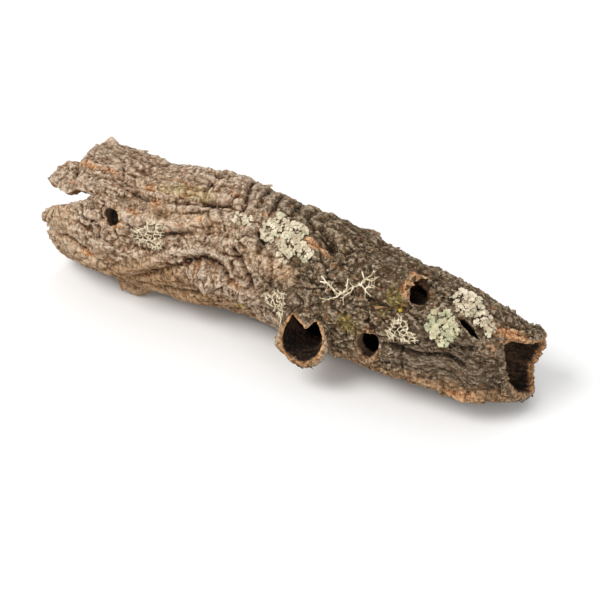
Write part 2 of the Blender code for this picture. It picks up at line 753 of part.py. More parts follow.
def twig_lines(x0, a0, reach_x, reach_v, branches, seed):
    """Forked branches as lists of (along, round, share of length) from the root."""
    draw = random.Random(seed)
    lines = []
    for k in range(branches):
        aim = 2.0 * math.pi * (k + draw.uniform(-0.25, 0.25)) / branches
        length = draw.uniform(0.7, 1.0)
        bend = draw.uniform(-0.5, 0.5)
        main = []
        for i in range(4):
            share = i / 3
            turn = aim + bend * share
            main.append((reach_x * length * share * math.cos(turn),
                         reach_v * length * share * math.sin(turn), share))
        lines.append(main)
        fork = main[2]
        side = aim + bend + draw.choice((-0.85, 0.85))
        tip = (fork[0] + 0.42 * reach_x * length * math.cos(side),
               fork[1] + 0.42 * reach_v * length * math.sin(side), 1.0)
        lines.append([fork, tip])
    return lines


def twig_tube(name, line, seat, group):
    """One branch as a tapering tube on the bark, made a closed mesh."""
    curve = bpy.data.curves.new(name, "CURVE")
    curve.dimensions = "3D"
    curve.bevel_depth = TWIG_ROOT * MM
    curve.bevel_resolution = 0
    curve.use_fill_caps = True
    spline = curve.splines.new("POLY")
    spline.points.add(len(line) - 1)
    for point, place in zip(spline.points, line):
        point.co = (*(seat(place) * MM), 1.0)
        point.radius = 1.0 + (TWIG_TIP / TWIG_ROOT - 1.0) * place[2]
    rod = bpy.data.objects.new(name, curve)
    bpy.context.scene.collection.objects.link(rod)
    bpy.context.view_layer.update()
    graph = bpy.context.evaluated_depsgraph_get()
    mesh = bpy.data.meshes.new_from_object(rod.evaluated_get(graph))
    bpy.data.objects.remove(rod)
    item = bpy.data.objects.new(name, mesh)
    group.objects.link(item)
    work = bmesh.new()
    work.from_mesh(mesh)
    bmesh.ops.remove_doubles(work, verts=work.verts, dist=0.00002)
    bmesh.ops.recalc_face_normals(work, faces=work.faces)
    work.to_mesh(mesh)
    work.free()
    return item


def shrubby_lichen(name, bark, tree, parts, finish):
    """Forked twigs that spread over the bark from a small root, fused in one body."""
    x0, a0, reach_x, reach_v, branches, seed = SHRUBBY[name]
    radius = spine(x0)[2]

    def seat(place):
        x = x0 + place[0]
        angle = a0 + math.degrees(place[1] / radius)
        rise = 1.6 * math.sin(math.pi * min(place[2] * 1.25, 1.0)) * (1.0 - place[2] * 0.4)
        height = highest_near(tree, x, angle, 1.4) + TWIG_LIFT + TWIG_ROOT + rise * 0.6
        return Vector(tube_point(np.array(x), angle, height))

    bunch = new_collection(name + "_twigs")
    for i, line in enumerate(twig_lines(*SHRUBBY[name])):
        twig_tube(f"{name}_{i}", line, seat, bunch)
    root = seat((0.0, 0.0, 0.0)) * MM
    bpy.ops.mesh.primitive_ico_sphere_add(subdivisions=1, radius=1.5 * MM, location=root)
    knob = bpy.context.active_object
    for owner in list(knob.users_collection):
        owner.objects.unlink(knob)
    parts.objects.link(knob)
    knob.name = name
    knob.data.transform(knob.matrix_world)
    knob.matrix_world.identity()
    knob.data.materials.append(finish)
    fuse = knob.modifiers.new("fuse", "BOOLEAN")
    fuse.operation = "UNION"
    fuse.operand_type = "COLLECTION"
    fuse.collection = bunch
    fuse.solver = "MANIFOLD"
    apply_modifiers(knob)
    for twig in list(bunch.objects):
        bpy.data.objects.remove(twig, do_unlink=True)
    bpy.data.collections.remove(bunch)
    largest_body(knob)
    outward_faces(knob)
    lift_clear(knob, bark, tree)
    return knob


def build():
    clear_scene()
    parts = new_collection("cork_bark_tube")
    cutters = new_collection("cutters")
    bark = build_bark(parts, cutters)
    tree = bark_tree(bark)
    leaf_finish = material("leafy_lichen", (0.52, 0.50, 0.36), 0.9)
    for name in LEAFY:
        leafy_lichen(name, bark, tree, parts, leaf_finish)
    twig_finish = material("shrubby_lichen", (0.60, 0.55, 0.40), 0.88)
    for name in SHRUBBY:
        shrubby_lichen(name, bark, tree, parts, twig_finish)


build()
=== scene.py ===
"""The cork bark tube and its lichens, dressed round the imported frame.

A place on the bark is given by x in mm and an angle round the tube in degrees:
0 faces -Y, 90 faces up, 180 faces +Y and -90 faces down.
"""

import json
import math
import random

import bmesh
import bpy
import numpy as np
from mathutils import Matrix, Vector, noise
from mathutils.bvhtree import BVHTree

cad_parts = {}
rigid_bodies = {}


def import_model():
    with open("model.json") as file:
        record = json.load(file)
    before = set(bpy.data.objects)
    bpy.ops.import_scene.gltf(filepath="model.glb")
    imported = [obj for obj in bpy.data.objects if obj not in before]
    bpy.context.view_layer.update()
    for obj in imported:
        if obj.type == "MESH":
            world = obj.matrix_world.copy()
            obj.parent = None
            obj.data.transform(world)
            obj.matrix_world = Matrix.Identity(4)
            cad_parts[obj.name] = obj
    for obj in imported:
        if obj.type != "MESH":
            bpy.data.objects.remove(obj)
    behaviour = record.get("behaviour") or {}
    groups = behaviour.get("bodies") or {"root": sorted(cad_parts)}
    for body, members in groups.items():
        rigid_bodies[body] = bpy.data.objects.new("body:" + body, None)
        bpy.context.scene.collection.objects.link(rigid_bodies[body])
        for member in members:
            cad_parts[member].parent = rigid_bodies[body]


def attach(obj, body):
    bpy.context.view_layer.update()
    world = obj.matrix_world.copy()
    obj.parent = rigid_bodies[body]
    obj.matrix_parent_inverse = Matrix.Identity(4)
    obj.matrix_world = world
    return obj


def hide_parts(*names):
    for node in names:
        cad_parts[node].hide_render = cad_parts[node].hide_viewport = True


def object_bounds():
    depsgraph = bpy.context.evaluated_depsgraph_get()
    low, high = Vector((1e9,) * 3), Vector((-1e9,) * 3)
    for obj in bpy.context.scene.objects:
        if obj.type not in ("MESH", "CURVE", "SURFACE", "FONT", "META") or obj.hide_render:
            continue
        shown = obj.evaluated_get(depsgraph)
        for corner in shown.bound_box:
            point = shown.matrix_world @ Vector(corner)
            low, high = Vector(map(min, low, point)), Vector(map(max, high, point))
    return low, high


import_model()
cad_low, cad_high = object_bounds()
MM = 0.001

# Camera
# The tube is seen from its front right, from well above, with its narrow end nearer.
# The whole length fills the square frame, as it does when the tube is held up to be seen.
CAMERA_TURN = 26.0
CAMERA_RISE = 36.0
CAMERA_DISTANCE = 1.0
CAMERA_AIM = Vector((0.01256, -0.0006, 0.02159))
CAMERA_LENS = 109.13

turn = math.radians(CAMERA_TURN)
rise = math.radians(CAMERA_RISE)
towards = Vector((math.sin(turn) * math.cos(rise), -math.cos(turn) * math.cos(rise),
                  math.sin(rise)))
camera_data = bpy.data.cameras.new("camera")
camera_data.lens = CAMERA_LENS
camera_data.sensor_width = 36.0
camera_data.clip_start = 0.05
camera = bpy.data.objects.new("camera", camera_data)
camera.location = CAMERA_AIM + towards * CAMERA_DISTANCE
camera.rotation_mode = "QUATERNION"
camera.rotation_quaternion = (-towards).to_track_quat("-Z", "Y")
bpy.context.scene.collection.objects.link(camera)
bpy.context.scene.camera = camera

# Floor and studio light
# A matt, nearly white sheet under the tube, large enough to fill the picture.
# A broad soft lamp stands above and to the left, a weaker one to the right.
FLOOR_HALF = 3.0
FLOOR_DROP = 0.0001
LAMPS = {
    "key": ((-0.55, -0.75, 1.25), 0.9, 17.0),
    "fill": ((0.95, -0.85, 0.65), 0.9, 6.0),
    "back": ((0.1, 1.1, 0.9), 0.9, 4.0),
}
SKY_STRENGTH = 0.62


def srgb(red, green, blue):
    """Linear colour from screen values between 0 and 255."""
    values = []
    for part in (red, green, blue):
        part = part / 255.0
        values.append(part / 12.92 if part < 0.04045 else ((part + 0.055) / 1.055) ** 2.4)
    return tuple(values)


def new_material(name, roughness, specular):
    """A material with its node tree and its shader."""
    finish = bpy.data.materials.new(name)
    finish.use_nodes = True
    shader = finish.node_tree.nodes["Principled BSDF"]
    shader.inputs["Roughness"].default_value = roughness
    shader.inputs["Specular IOR Level"].default_value = specular
    return finish, finish.node_tree, shader


floor_mesh = bpy.data.meshes.new("studio_floor")
corners = [(-FLOOR_HALF, -FLOOR_HALF), (FLOOR_HALF, -FLOOR_HALF),
           (FLOOR_HALF, FLOOR_HALF), (-FLOOR_HALF, FLOOR_HALF)]
floor_mesh.from_pydata([(x, y, -FLOOR_DROP) for x, y in corners], [], [(0, 1, 2, 3)])
floor = bpy.data.objects.new("studio_floor", floor_mesh)
bpy.context.scene.collection.objects.link(floor)
paper, _, paper_shader = new_material("white_paper", 0.9, 0.1)
paper_shader.inputs["Base Color"].default_value = (0.86, 0.86, 0.855, 1.0)
floor_mesh.materials.append(paper)

world = bpy.data.worlds.new("studio")
world.use_nodes = True
world.node_tree.nodes["Background"].inputs["Color"].default_value = (1.0, 1.0, 1.0, 1.0)
world.node_tree.nodes["Background"].inputs["Strength"].default_value = SKY_STRENGTH
bpy.context.scene.world = world
bpy.context.scene.view_settings.view_transform = "Standard"
for name, (place, size, power) in LAMPS.items():
    lamp_data = bpy.data.lights.new(name, "AREA")
    lamp_data.shape = "DISK"
    lamp_data.size = size
    lamp_data.energy = power
    lamp = bpy.data.objects.new(name, lamp_data)
    lamp.location = place
    lamp.rotation_mode = "QUATERNION"
    lamp.rotation_quaternion = (CAMERA_AIM - Vector(place)).to_track_quat("-Z", "Y")
    bpy.context.scene.collection.objects.link(lamp)

# Bark tube
# Virgin cork bark, grown as one piece round a branch that has rotted away, so it is hollow.
# Both ends, two branch stubs and two knot holes are broken open, and a split runs near the
# narrow end. Here its wall is a closed shell on the frame's own form, with finer relief.
SPINE = (
    (-150, 16.9, 25.5), (-137, 14.9, 31.6), (-115, 10.0, 36.2), (-80, 6.0, 35.6),
    (-50, 7.6, 36.2), (-22, 10.4, 34.8), (0, 6.2, 35.0), (25, -0.6, 35.0),
    (60, -5.0, 32.2), (100, -7.8, 29.4), (120, -8.8, 27.0), (138, -4.6, 22.4),
    (150, -0.1, 19.0),
)
HALF_LENGTH = 150.0
MEAN_RADIUS = 33.0
UNDERSIDE = 3.6
WALL_LEFT = 7.4
WALL_RIGHT = 4.6
WALL_LEAST = 2.4
LEFT_END = (
    (-180, -128), (-150, -131), (-125, -130), (-90, -135), (-60, -139), (-38, -142),
    (-20, -143), (-4, -141), (8, -146), (30, -150), (58, -152), (76, -150), (98, -132),
    (115, -121), (135, -120), (160, -125), (180, -128),
)
RIGHT_END = (
    (-180, 148), (-140, 144), (-90, 149), (-60, 149), (-35, 146), (-10, 143), (15, 140.5),
    (40, 138), (55, 135.5), (61, 137), (67, 140), (72, 145), (80, 148), (108, 151),
    (150, 147), (180, 148),
)
END_REACH = 0.42
JAGGED = 1.6
# Outlines of (x, angle) where the left end is broken back
BREAKS = {
    "notch between the prong and the lobe": (
        (-107, 44.5), (-112, 38), (-117.5, 34), (-123, 29.5), (-130, 27), (-137, 24),
        (-142, 21), (-147, 17), (-160, 15), (-160, 66), (-152, 64), (-147, 56), (-139, 47),
        (-132, 42), (-126, 39), (-122, 41.5), (-119, 45.5), (-113, 46)),
    "shoulder over the prong": (
        (-124, 77), (-131, 71), (-140, 73), (-149, 74), (-160, 70), (-160, 130),
        (-134, 130), (-121, 104), (-123, 90)),
    "nick over the lower flap": (
        (-134, -3), (-139, -1), (-145, 2), (-158, 4), (-158, -9), (-146, -8), (-140, -6)),
}
SPLIT = ((-2.0, 0.0), (1.5, 3.0), (8.0, 2.2), (14.5, -1.5), (8.5, -2.4), (2.0, -1.0))
SPLIT_PLACE = (113.5, 60.5)
SPLIT_FALL = -0.78
# Knobs and hollows: x, angle, half length, half width, height
SWELLINGS = {
    "knob on top of the left end": (-116, 104, 3.8, 4.0, 4.4),
    "lump at the tip of the prong": (-141, 58, 9, 8, 2.6),
    "hump behind the upper prong": (-123, 84, 9, 9, 2.6),
    "smooth lobe between the notches": (-134, 16, 14, 13, 2.4),
    "lip round the left knot hole": (-92, 33, 8, 8, 2.2),
    "orange flake left of the top patch": (-77, 70, 6, 5, 1.6),
    "pit beside the flake": (-63, 51, 5, 4, -3.2),
    "hollow over the left knot hole": (-84, 52, 8, 5, -1.6),
    "trench under the left sprig": (-66, 14, 14, 5, -3.4),
    "chin": (-31, -2, 9, 8, 5.2),
    "small knob under the chin": (-44, -32, 8, 5, 2.6),
    "bulge right of the chin": (-9, -6, 11, 9, 3.4),
    "block beside the crevice": (0, 32, 8, 9, 3.0),
    "knob left of the crevice": (-15, 44, 7, 6, 2.4),
    "pale panel": (15, 33, 9, 6, 1.8),
    "pocket behind the orange flake": (34, 76, 6, 5, -4.0),
    "orange flake": (25, 68, 6, 3.5, 2.6),
    "swelling round the heart-shaped stub": (28, -4, 17, 15, 4.0),
    "swelling round the right knot hole": (71, 2, 13, 12, 2.6),
    "root of the hood": (66, 66, 15, 12, 4.2),
    "roof of the hood": (76, 80, 10, 7, 3.2),
    "front of the hood": (80, 52, 8, 5, 2.0),
    "step in the top line": (47, 126, 6, 7, 3.0),
    "bump after the step": (66, 120, 5, 5, 2.4),
    "bump near the right end": (106, 108, 4, 5, 1.6),
    "knob on the right lip": (129, 47, 8, 7, 3.6),
    "hollow in the swirl": (117, 20, 7, 4, -2.2),
    "knot in the swirl": (128, 4, 6, 5, 2.0),
    "belly of the narrow end": (129, -30, 15, 9, 3.6),
    "low side of the narrow half": (92, -32, 38, 13, 1.8),
    "boss on the back": (-58, 190, 16, 12, 4.0),
    "hollow on the back": (-12, 165, 18, 9, -2.8),
    "knot on the back": (52, 200, 9, 9, 3.6),
    "hollow low on the back": (92, 215, 14, 7, -2.4),
    "hump low on the back": (-100, 222, 12, 9, 3.0),
}
# Cracks and ridges: half width, height, then x, angle along the line
CREASES = {
    "edge over the lower flap": (1.8, -3.0, ((-142, -4), (-129, -3), (-117, 0), (-110, -5),
                                             (-102, -13), (-92, -22))),
    "furrow above the ridge": (2.4, -2.4, ((-84, 62), (-66, 60), (-48, 68), (-30, 71))),
    "long ridge": (3.4, 2.8, ((-84, 38), (-66, 39), (-51, 42), (-38, 50), (-22, 60))),
    "under the long ridge": (2.0, -2.2, ((-74, 24), (-58, 30), (-44, 38))),
    "edge of the lower fold": (2.6, 2.6, ((-86, -14), (-70, -2), (-52, 18), (-36, 24))),
    "below the lower fold": (2.2, -2.0, ((-76, -20), (-58, -2), (-42, 12))),
    "furrow under the chin": (2.2, -3.0, ((-77, -33), (-56, -26), (-36, -18))),
    "left of the chin": (2.2, -3.6, ((-42, 12), (-33, 19), (-24, 14), (-18, 4))),
    "crevice": (2.6, -5.2, ((-6, 56), (-3, 50), (-3, 42))),
    "neck of the prong": (2.4, -2.8, ((-127, 84), (-127, 70), (-124, 58))),
    "crease left of the block": (2.0, -3.2, ((-18, 34), (-12, 26), (-7, 17), (-4, 8))),
    "crease right of the block": (1.8, -2.2, ((6, 40), (9, 28), (8, 18))),
    "first wrinkle": (1.7, -2.4, ((-47, 96), (-46, 80), (-42, 66))),
    "second wrinkle": (1.7, -2.6, ((-28, 112), (-25, 94), (-21, 70))),
    "third wrinkle": (1.7, -2.6, ((-18, 116), (-16, 98), (-14, 80))),
    "fourth wrinkle": (1.7, -2.8, ((-10, 120), (-8, 100), (-5, 82))),
    "fifth wrinkle": (1.7, -2.6, ((3, 122), (4, 103), (6, 88))),
    "sixth wrinkle": (1.6, -2.2, ((14, 122), (15, 106), (14, 92))),
    "behind the flake": (2.2, -3.0, ((26, 88), (34, 82), (38, 70))),
    "right of the hood": (2.2, -2.4, ((66, 44), (78, 42), (92, 54))),
    "long wrinkle of the right end": (1.8, -2.6, ((84, 8), (99, 10), (111, 17), (121, 15))),
    "second wrinkle of the right end": (1.6, -2.0, ((101, 27), (114, 32), (124, 36))),
    "edge of the underside": (2.4, 1.8, ((80, -18), (100, -22), (127, -26))),
    "back crack": (2.2, -3.0, ((-105, 172), (-70, 165), (-30, 176), (10, 190))),
    "back ridge": (3.6, 2.8, ((-40, 212), (0, 208), (44, 226), (88, 236))),
    "short back crack": (2.0, -2.6, ((60, 160), (82, 168), (112, 160))),
    "top ridge": (3.2, 2.0, ((-100, 118), (-60, 112), (-34, 124))),
    "groove over the narrow mouth": (1.6, -2.2, ((124, 84), (134, 84), (143, 88))),
}
FEET = ((-88, -68), (-84, -116), (96, -90))
FOOT_HEIGHT = 6.8
FOOT_SIZE = 10.0
# Stubs: base (x, angle, depth), mouth (x, angle, height), radii, bore, lean, lumps
HEART_STUB = ((34, -11, 5.5), (35.5, -9, 9.0), 15.2, 13.3, 11.4, 0.5, 1.8)
# Bore of the heart-shaped stub: degrees to the left of its top, radius
HEART_OUTLINE = (
    (-180, 11.3), (-145, 10.1), (-106, 10.7), (-76, 11.4), (-50, 11.7), (-28, 12.8),
    (-22, 9.4), (-14, 6.2), (1, 7.1), (17, 9.6), (30, 14.2), (45, 12.0), (70, 11.2),
    (108, 11.3), (145, 11.4), (180, 11.3),
)
# Depth of the tooth, from the front of the stub
TOOTH_BACK = (10.5, 8.0)
HOOD_STUB = ((70, 76, 6.5), (89.5, 67, 4.6), 12.4, 8.4, 5.8, -0.12, 2.2)
# The hood's lip runs out to a point: x, angle, height and radius at its root and its tip
HOOD_LIP = ((76, 82, 5.6, 4.0), (95.5, 88, 5.4, 1.2))
KNOT_HOLES = ((-91, 34, 36, 4.3, 4.6), (70, 0, 18, 5.6, 8.2))
# Lichen seats, where the bark is smoother: x, angle, half length, half width
LICHEN_SEATS = ((12, 58, 16.5, 9.6), (103.5, 46, 8.2, 8.6), (114.5, 77.5, 6.4, 7.2),
                (-18, 60, 5.2, 3.8))
# Points of the shell's grid, and of the rims between its outside and its bore
ALONG = 358
AROUND = 208
INNER_ALONG = 50
RIM_SHARES = (0.12, 0.28, 0.44, 0.6, 0.76, 0.9)
# The noise that all of the relief is drawn from
SEED_STEP = 17.3
ROUGHNESS = 0.8
LACUNARITY = 2.1


def smooth_through(stations, x):
    """Smooth curve through stations (x, value), flat past both ends."""
    xs = np.array([s[0] for s in stations], dtype=float)
    ys = np.array([s[1] for s in stations], dtype=float)
    slopes = np.gradient(ys, xs)
    x = np.clip(x, xs[0], xs[-1])
    k = np.clip(np.searchsorted(xs, x, side="right") - 1, 0, len(xs) - 2)
    span = xs[k + 1] - xs[k]
    t = (x - xs[k]) / span
    climb = ys[k] * (2 * t**3 - 3 * t**2 + 1) + ys[k + 1] * (3 * t**2 - 2 * t**3)
    lean = slopes[k] * (t**3 - 2 * t**2 + t) + slopes[k + 1] * (t**3 - t**2)
    return climb + lean * span


def spine(x):
    """Centre (y, z) and mean outer radius of the tube at x."""
    y = smooth_through([(s[0], s[1]) for s in SPINE], x)
    radius = smooth_through([(s[0], s[2]) for s in SPINE], x)
    return y, radius + UNDERSIDE, radius


def tube_point(x, angle, radius):
    """Point at an angle in degrees and a radius from the centre line."""
    y, z, _ = spine(x)
    around = np.radians(angle)
    return np.stack([x, y - radius * np.cos(around), z + radius * np.sin(around)], axis=-1)


def tube_vector(x, angle, radius):
    return Vector(tube_point(np.array(float(x)), angle, radius))


def outward(angle):
    """The way out from the centre line at an angle in degrees."""
    around = math.radians(angle)
    return Vector((0.0, -math.cos(around), math.sin(around)))


def wrap(angle):
    """The same angle between -180 and 180."""
    return (np.asarray(angle) + 180.0) % 360.0 - 180.0


def noise_places(x, angle, along, around, seed):
    """Places in a noise field that close on themselves round the tube."""
    _, _, radius = spine(x)
    bend = np.radians(angle)
    flat = np.stack([x / along, radius * np.cos(bend) / around,
                     radius * np.sin(bend) / around], axis=-1)
    return [Vector(place) for place in flat.reshape(-1, 3) + seed * SEED_STEP]


def rugged(place, octaves=3):
    """Fractal noise with the roughness that all of the bark's edges share."""
    return noise.fractal(place, ROUGHNESS, LACUNARITY, octaves)


def swayed(place, rate, reach):
    """A place pushed about by noise, so that the cells round it come out uneven."""
    sway = [noise.noise(place * rate + Vector((0.0, 0.0, 9.0 * k))) for k in range(3)]
    return place + Vector(sway) * reach


def grain(x, angle, along, around, seed, octaves=1):
    """Smooth noise between about -1 and 1 on a seamless cylinder."""
    places = noise_places(x, angle, along, around, seed)
    if octaves == 1:
        values = [noise.noise(place) for place in places]
    else:
        values = [rugged(place, octaves) for place in places]
    return np.array(values).reshape(np.shape(x))


def plate_cracks(x, angle, along, around, seed, width):
    """1 in the cracks between plates, 0 on the plates."""
    gaps = []
    for place in noise_places(x, angle, along, around, seed):
        nearest = noise.voronoi(swayed(place, 1.3, 0.35))[0]
        gaps.append(nearest[1] - nearest[0])
    gaps = np.array(gaps).reshape(np.shape(x))
    return np.exp(-(gaps / width) ** 2)


def patch(x, angle, centre_x, centre_angle, half_x, half_v, power=1.0):
    """1 in the middle of an oval patch on the bark, falling smoothly to 0 outside it."""
    v = np.radians(wrap(angle - centre_angle)) * spine(x)[2]
    return np.exp(-(((x - centre_x) / half_x) ** 2 + (v / half_v) ** 2) ** power)


def bumps(x, angle, places):
    """Knobs and hollows from (x, angle, half length, half width, height)."""
    return sum(height * patch(x, angle, *place) for *place, height in places)


def near_line(x, angle, line):
    """Distance in mm along the surface to a line of (x, angle)."""
    _, _, radius = spine(x)
    nearest = np.full(np.shape(x), 1e6)
    for (x0, a0), (x1, a1) in zip(line, line[1:]):
        u = x - x0
        v = np.radians(wrap(angle - a0)) * radius
        run = x1 - x0
        climb = math.radians(a1 - a0) * radius
        t = np.clip((u * run + v * climb) / (run**2 + climb**2), 0.0, 1.0)
        nearest = np.minimum(nearest, np.hypot(u - t * run, v - t * climb))
    return nearest


def fading(x, middle, width):
    """1 left of a place and 0 right of it, fading over a width."""
    return 1.0 / (1.0 + np.exp((x - middle) / width))


def step_up(value, start, end):
    """Smooth step from 0 at start to 1 at end."""
    t = np.clip((value - start) / (end - start), 0.0, 1.0)
    return t * t * (3.0 - 2.0 * t)


def seat_field(x, angle):
    seats = [patch(x, angle, sx, sa, hx + 1.0, hv + 1.0, 3) for sx, sa, hx, hv in LICHEN_SEATS]
    return np.max(seats, axis=0)


def ring_swells(x, angle):
    """Swells that run round the tube, from about -1 between them to 1 on their crests."""
    return 1.0 - 2.2 * np.abs(grain(x, angle, 8.5, 40, 3))


def broken_plates(x, angle):
    """The cracks between large plates, strong in some places and missing in others."""
    broken = np.clip(0.45 + 1.8 * grain(x, angle, 26, 18, 9), 0.0, 1.0)
    return broken * plate_cracks(x, angle, 13, 10, 5, 0.16)


def slow_shape(x, angle):
    """Large lumps that the whole wall follows, inside and out."""
    return 2.4 * grain(x, angle, 46, 34, 1)


def main_relief(x, angle):
    """The corky surface as the frame has it."""
    left = fading(x, -5.0, 14.0)
    top = np.exp(-(wrap(angle - 95) / 34.0) ** 2)
    middle = np.exp(-((x + 5.0) / 44.0) ** 2)
    ridges = 1.0 - 2.2 * np.abs(grain(x, angle, 62, 11, 2))
    rough = grain(x, angle, 7.0, 6.0, 4, octaves=3)
    height = (0.4 + 0.8 * left) * ridges + (0.25 + 1.1 * top * middle) * ring_swells(x, angle)
    height += 0.9 * rough - (1.4 + 0.5 * middle) * broken_plates(x, angle)
    under = np.exp(-(wrap(angle + 90) / 42.0) ** 2)
    height *= (1.0 - 0.72 * seat_field(x, angle)) * (1.0 - 0.45 * under)
    height += bumps(x, angle, SWELLINGS.values())
    for half_width, rise_mm, line in CREASES.values():
        height += rise_mm * np.exp(-(near_line(x, angle, line) / half_width) ** 2)
    feet = np.zeros(np.shape(x))
    for fx, fa in FEET:
        feet = np.maximum(feet, FOOT_HEIGHT * patch(x, angle, fx, fa, FOOT_SIZE, FOOT_SIZE, 2))
    return height + feet


def grooves(x, angle, along, around, seed, width=0.22):
    """1 along thin wandering grooves, 0 between them."""
    return np.exp(-(grain(x, angle, along, around, seed, 2) / width) ** 2)


def facets(x, angle, along, around, seed):
    """Flat, tilted faces with sharp steps between them, from about -1 to 1."""
    levels = []
    for place in noise_places(x, angle, along, around, seed):
        place = swayed(place, 2.1, 0.3)
        seat = noise.voronoi(place)[1][0]
        slant = Vector([noise.noise(seat * 5.3 + Vector((7.0 * k, 0.0, 0.0)))
                        for k in range(3)])
        levels.append(1.7 * noise.noise(seat * 7.7) + 2.2 * slant.dot(place - seat))
    return np.array(levels).reshape(np.shape(x))


# Parts of the bark with a grain of their own: x, angle, half length, half width
REGIONS = {
    "woven": (-48, 70, 44, 15), "wrinkled": (-2, 94, 46, 27), "slanted": (-50, -16, 46, 20),
    "swirl": (112, 12, 27, 19), "smooth lobe": (-131, 14, 16, 14), "plates": (92, 92, 62, 26),
    "knobbly lip": (131, 42, 8, 9), "ribbed block": (14, 26, 15, 9),
    "ribbed bulge": (-5, 2, 18, 13), "ribbed chin": (-34, 6, 14, 9),
    "quiet middle": (8, 22, 26, 16),
}
# Small knobs along the top line: x, angle, half length, half width, height
CRUMBS_ON_TOP = (
    (-74, 108, 2.2, 2.6, 1.5), (-58, 104, 1.6, 2.2, 1.3), (-36, 110, 2.4, 2.4, 1.2),
    (53, 120, 3.0, 3.0, 1.8), (60, 112, 2.0, 2.4, 1.4), (74, 116, 2.4, 3.0, 1.7),
    (83, 110, 2.0, 2.4, 1.5), (92, 114, 2.6, 3.0, 1.8), (99, 108, 1.8, 2.2, 1.3),
    (116, 110, 2.2, 2.6, 1.5), (126, 106, 2.4, 2.6, 1.4), (137, 104, 2.0, 2.6, 1.6),
)


def region(x, angle, *names):
    """1 inside any of the named regions, falling to 0 outside them."""
    return np.max([patch(x, angle, *REGIONS[name], 2) for name in names], axis=0)


def swirl_angle(x, angle):
    """The angle drawn aside by slow eddies, as the grain runs round old knots."""
    return angle + 24.0 * grain(x, angle, 19, 14, 31)


def sheared_x(x, angle):
    """x drawn aside round the girth: one way on the left half, the other way past it."""
    return x + (0.7 * fading(x, -18.0, 5.0) - 0.45) * wrap(angle)


def fine_relief(x, angle):
    """Finer grooves, wrinkles, broken faces and crumbs than the frame has."""
    left = fading(x, -2.0, 12.0)
    woven = region(x, angle, "woven")
    wrinkled = region(x, angle, "wrinkled")
    slanted = region(x, angle, "slanted")
    swirl = region(x, angle, "swirl")
    ribbed = region(x, angle, "ribbed block", "ribbed bulge", "ribbed chin")
    sheared = sheared_x(x, angle)
    bent = swirl_angle(x, angle)
    strands = grooves(x, angle, 13, 2.3, 21)
    bars = grooves(x, angle, 2.8, 11, 22)
    slant = grooves(sheared, angle, 2.7, 11, 23)
    flow = grooves(x, bent, 22, 2.4, 24, 0.26)
    crackle = plate_cracks(x, angle, 4.4, 3.8, 25, 0.13)
    seams = plate_cracks(x, angle, 13, 10, 5, 0.055)
    crumbs = grain(x, angle, 2.6, 2.2, 26, octaves=3)
    blocks = facets(x, angle, 8.0, 5.0, 27)
    splinters = facets(x, angle, 3.4, 2.5, 28)
    gate = np.clip(0.5 + 1.8 * grain(x, angle, 15, 11, 29), 0.0, 1.0)
    height = -0.45 * (0.3 + left) * (1.0 - 0.8 * wrinkled) * strands
    height -= woven * (0.25 * bars + 0.45 * grooves(x, angle, 1.8, 8.0, 45, 0.3))
    height -= 0.8 * wrinkled * bars + 0.6 * slanted * slant + 1.1 * swirl * flow
    height -= 0.5 * woven * step_up(-x, 24.0, 40.0) * ring_swells(x, angle)
    height += 0.7 * swirl * grain(x, bent, 16, 5, 37)
    plain = (1.0 - 0.85 * swirl) * (1.0 - 0.75 * region(x, angle, "smooth lobe"))
    plain *= (1.0 - 0.45 * woven) * (1.0 - 0.35 * left)
    plain *= 1.0 - 0.6 * region(x, angle, "slanted", "quiet middle")
    height += plain * (0.45 * crumbs + (0.32 + 0.55 * gate) * blocks + 0.42 * splinters)
    height += region(x, angle, "knobbly lip") * (
        0.5 - 0.9 * plate_cracks(x, angle, 4.2, 4.0, 41, 0.2))
    height -= 0.9 * gate * (1.0 - swirl) * (1.0 - ribbed) * seams
    height += ribbed * (1.3 * broken_plates(x, angle) - 0.9 * slant - 0.5 * bars)
    height -= 0.6 * region(x, angle, "plates") * crackle * (0.35 + gate)
    height += bumps(x, angle, CRUMBS_ON_TOP)
    return height * (1.0 - 0.5 * seat_field(x, angle))


def outer_radius(x, angle):
    return spine(x)[2] + slow_shape(x, angle) + main_relief(x, angle)


def inner_radius(x, angle, outside):
    """Wall of the bore, never closer than the least wall to the outside."""
    wall = np.interp(x, (-HALF_LENGTH, HALF_LENGTH), (WALL_LEFT, WALL_RIGHT))
    wall = wall + 0.9 * grain(x, angle, 40, 16, 6) + 0.5 * grain(x, angle, 12, 2.6, 33)
    inside = spine(x)[2] + slow_shape(x, angle) - wall
    return np.minimum(inside, outside - WALL_LEAST)


def grid_x(share, angle):
    """x at a share of the length, drawn to the broken ends."""
    still = np.zeros(np.shape(angle))
    jag = JAGGED * grain(still, angle, 1.0, 3.2, 7, octaves=2)
    drawn = angle + 11.0 * grain(still, angle, 1.0, 13.0, 42)
    chips = grain(still, drawn, 1.0, 2.8, 8, octaves=2)
    chips = chips * np.clip(0.35 + 1.2 * grain(still, angle, 1.0, 9.0, 43), 0.05, 0.9)
    angles = [s[0] for s in LEFT_END]
    left = np.interp(angle, angles, [s[1] for s in LEFT_END]) + jag + chips
    angles = [s[0] for s in RIGHT_END]
    right = np.interp(angle, angles, [s[1] for s in RIGHT_END]) - jag * 0.7 - chips
    near_left = np.clip(1.0 - share / END_REACH, 0.0, 1.0) ** 1.5
    near_right = np.clip(1.0 - (1.0 - share) / END_REACH, 0.0, 1.0) ** 1.5
    middle = -HALF_LENGTH + 2.0 * HALF_LENGTH * share
    return middle + (left + HALF_LENGTH) * near_left + (right - HALF_LENGTH) * near_right


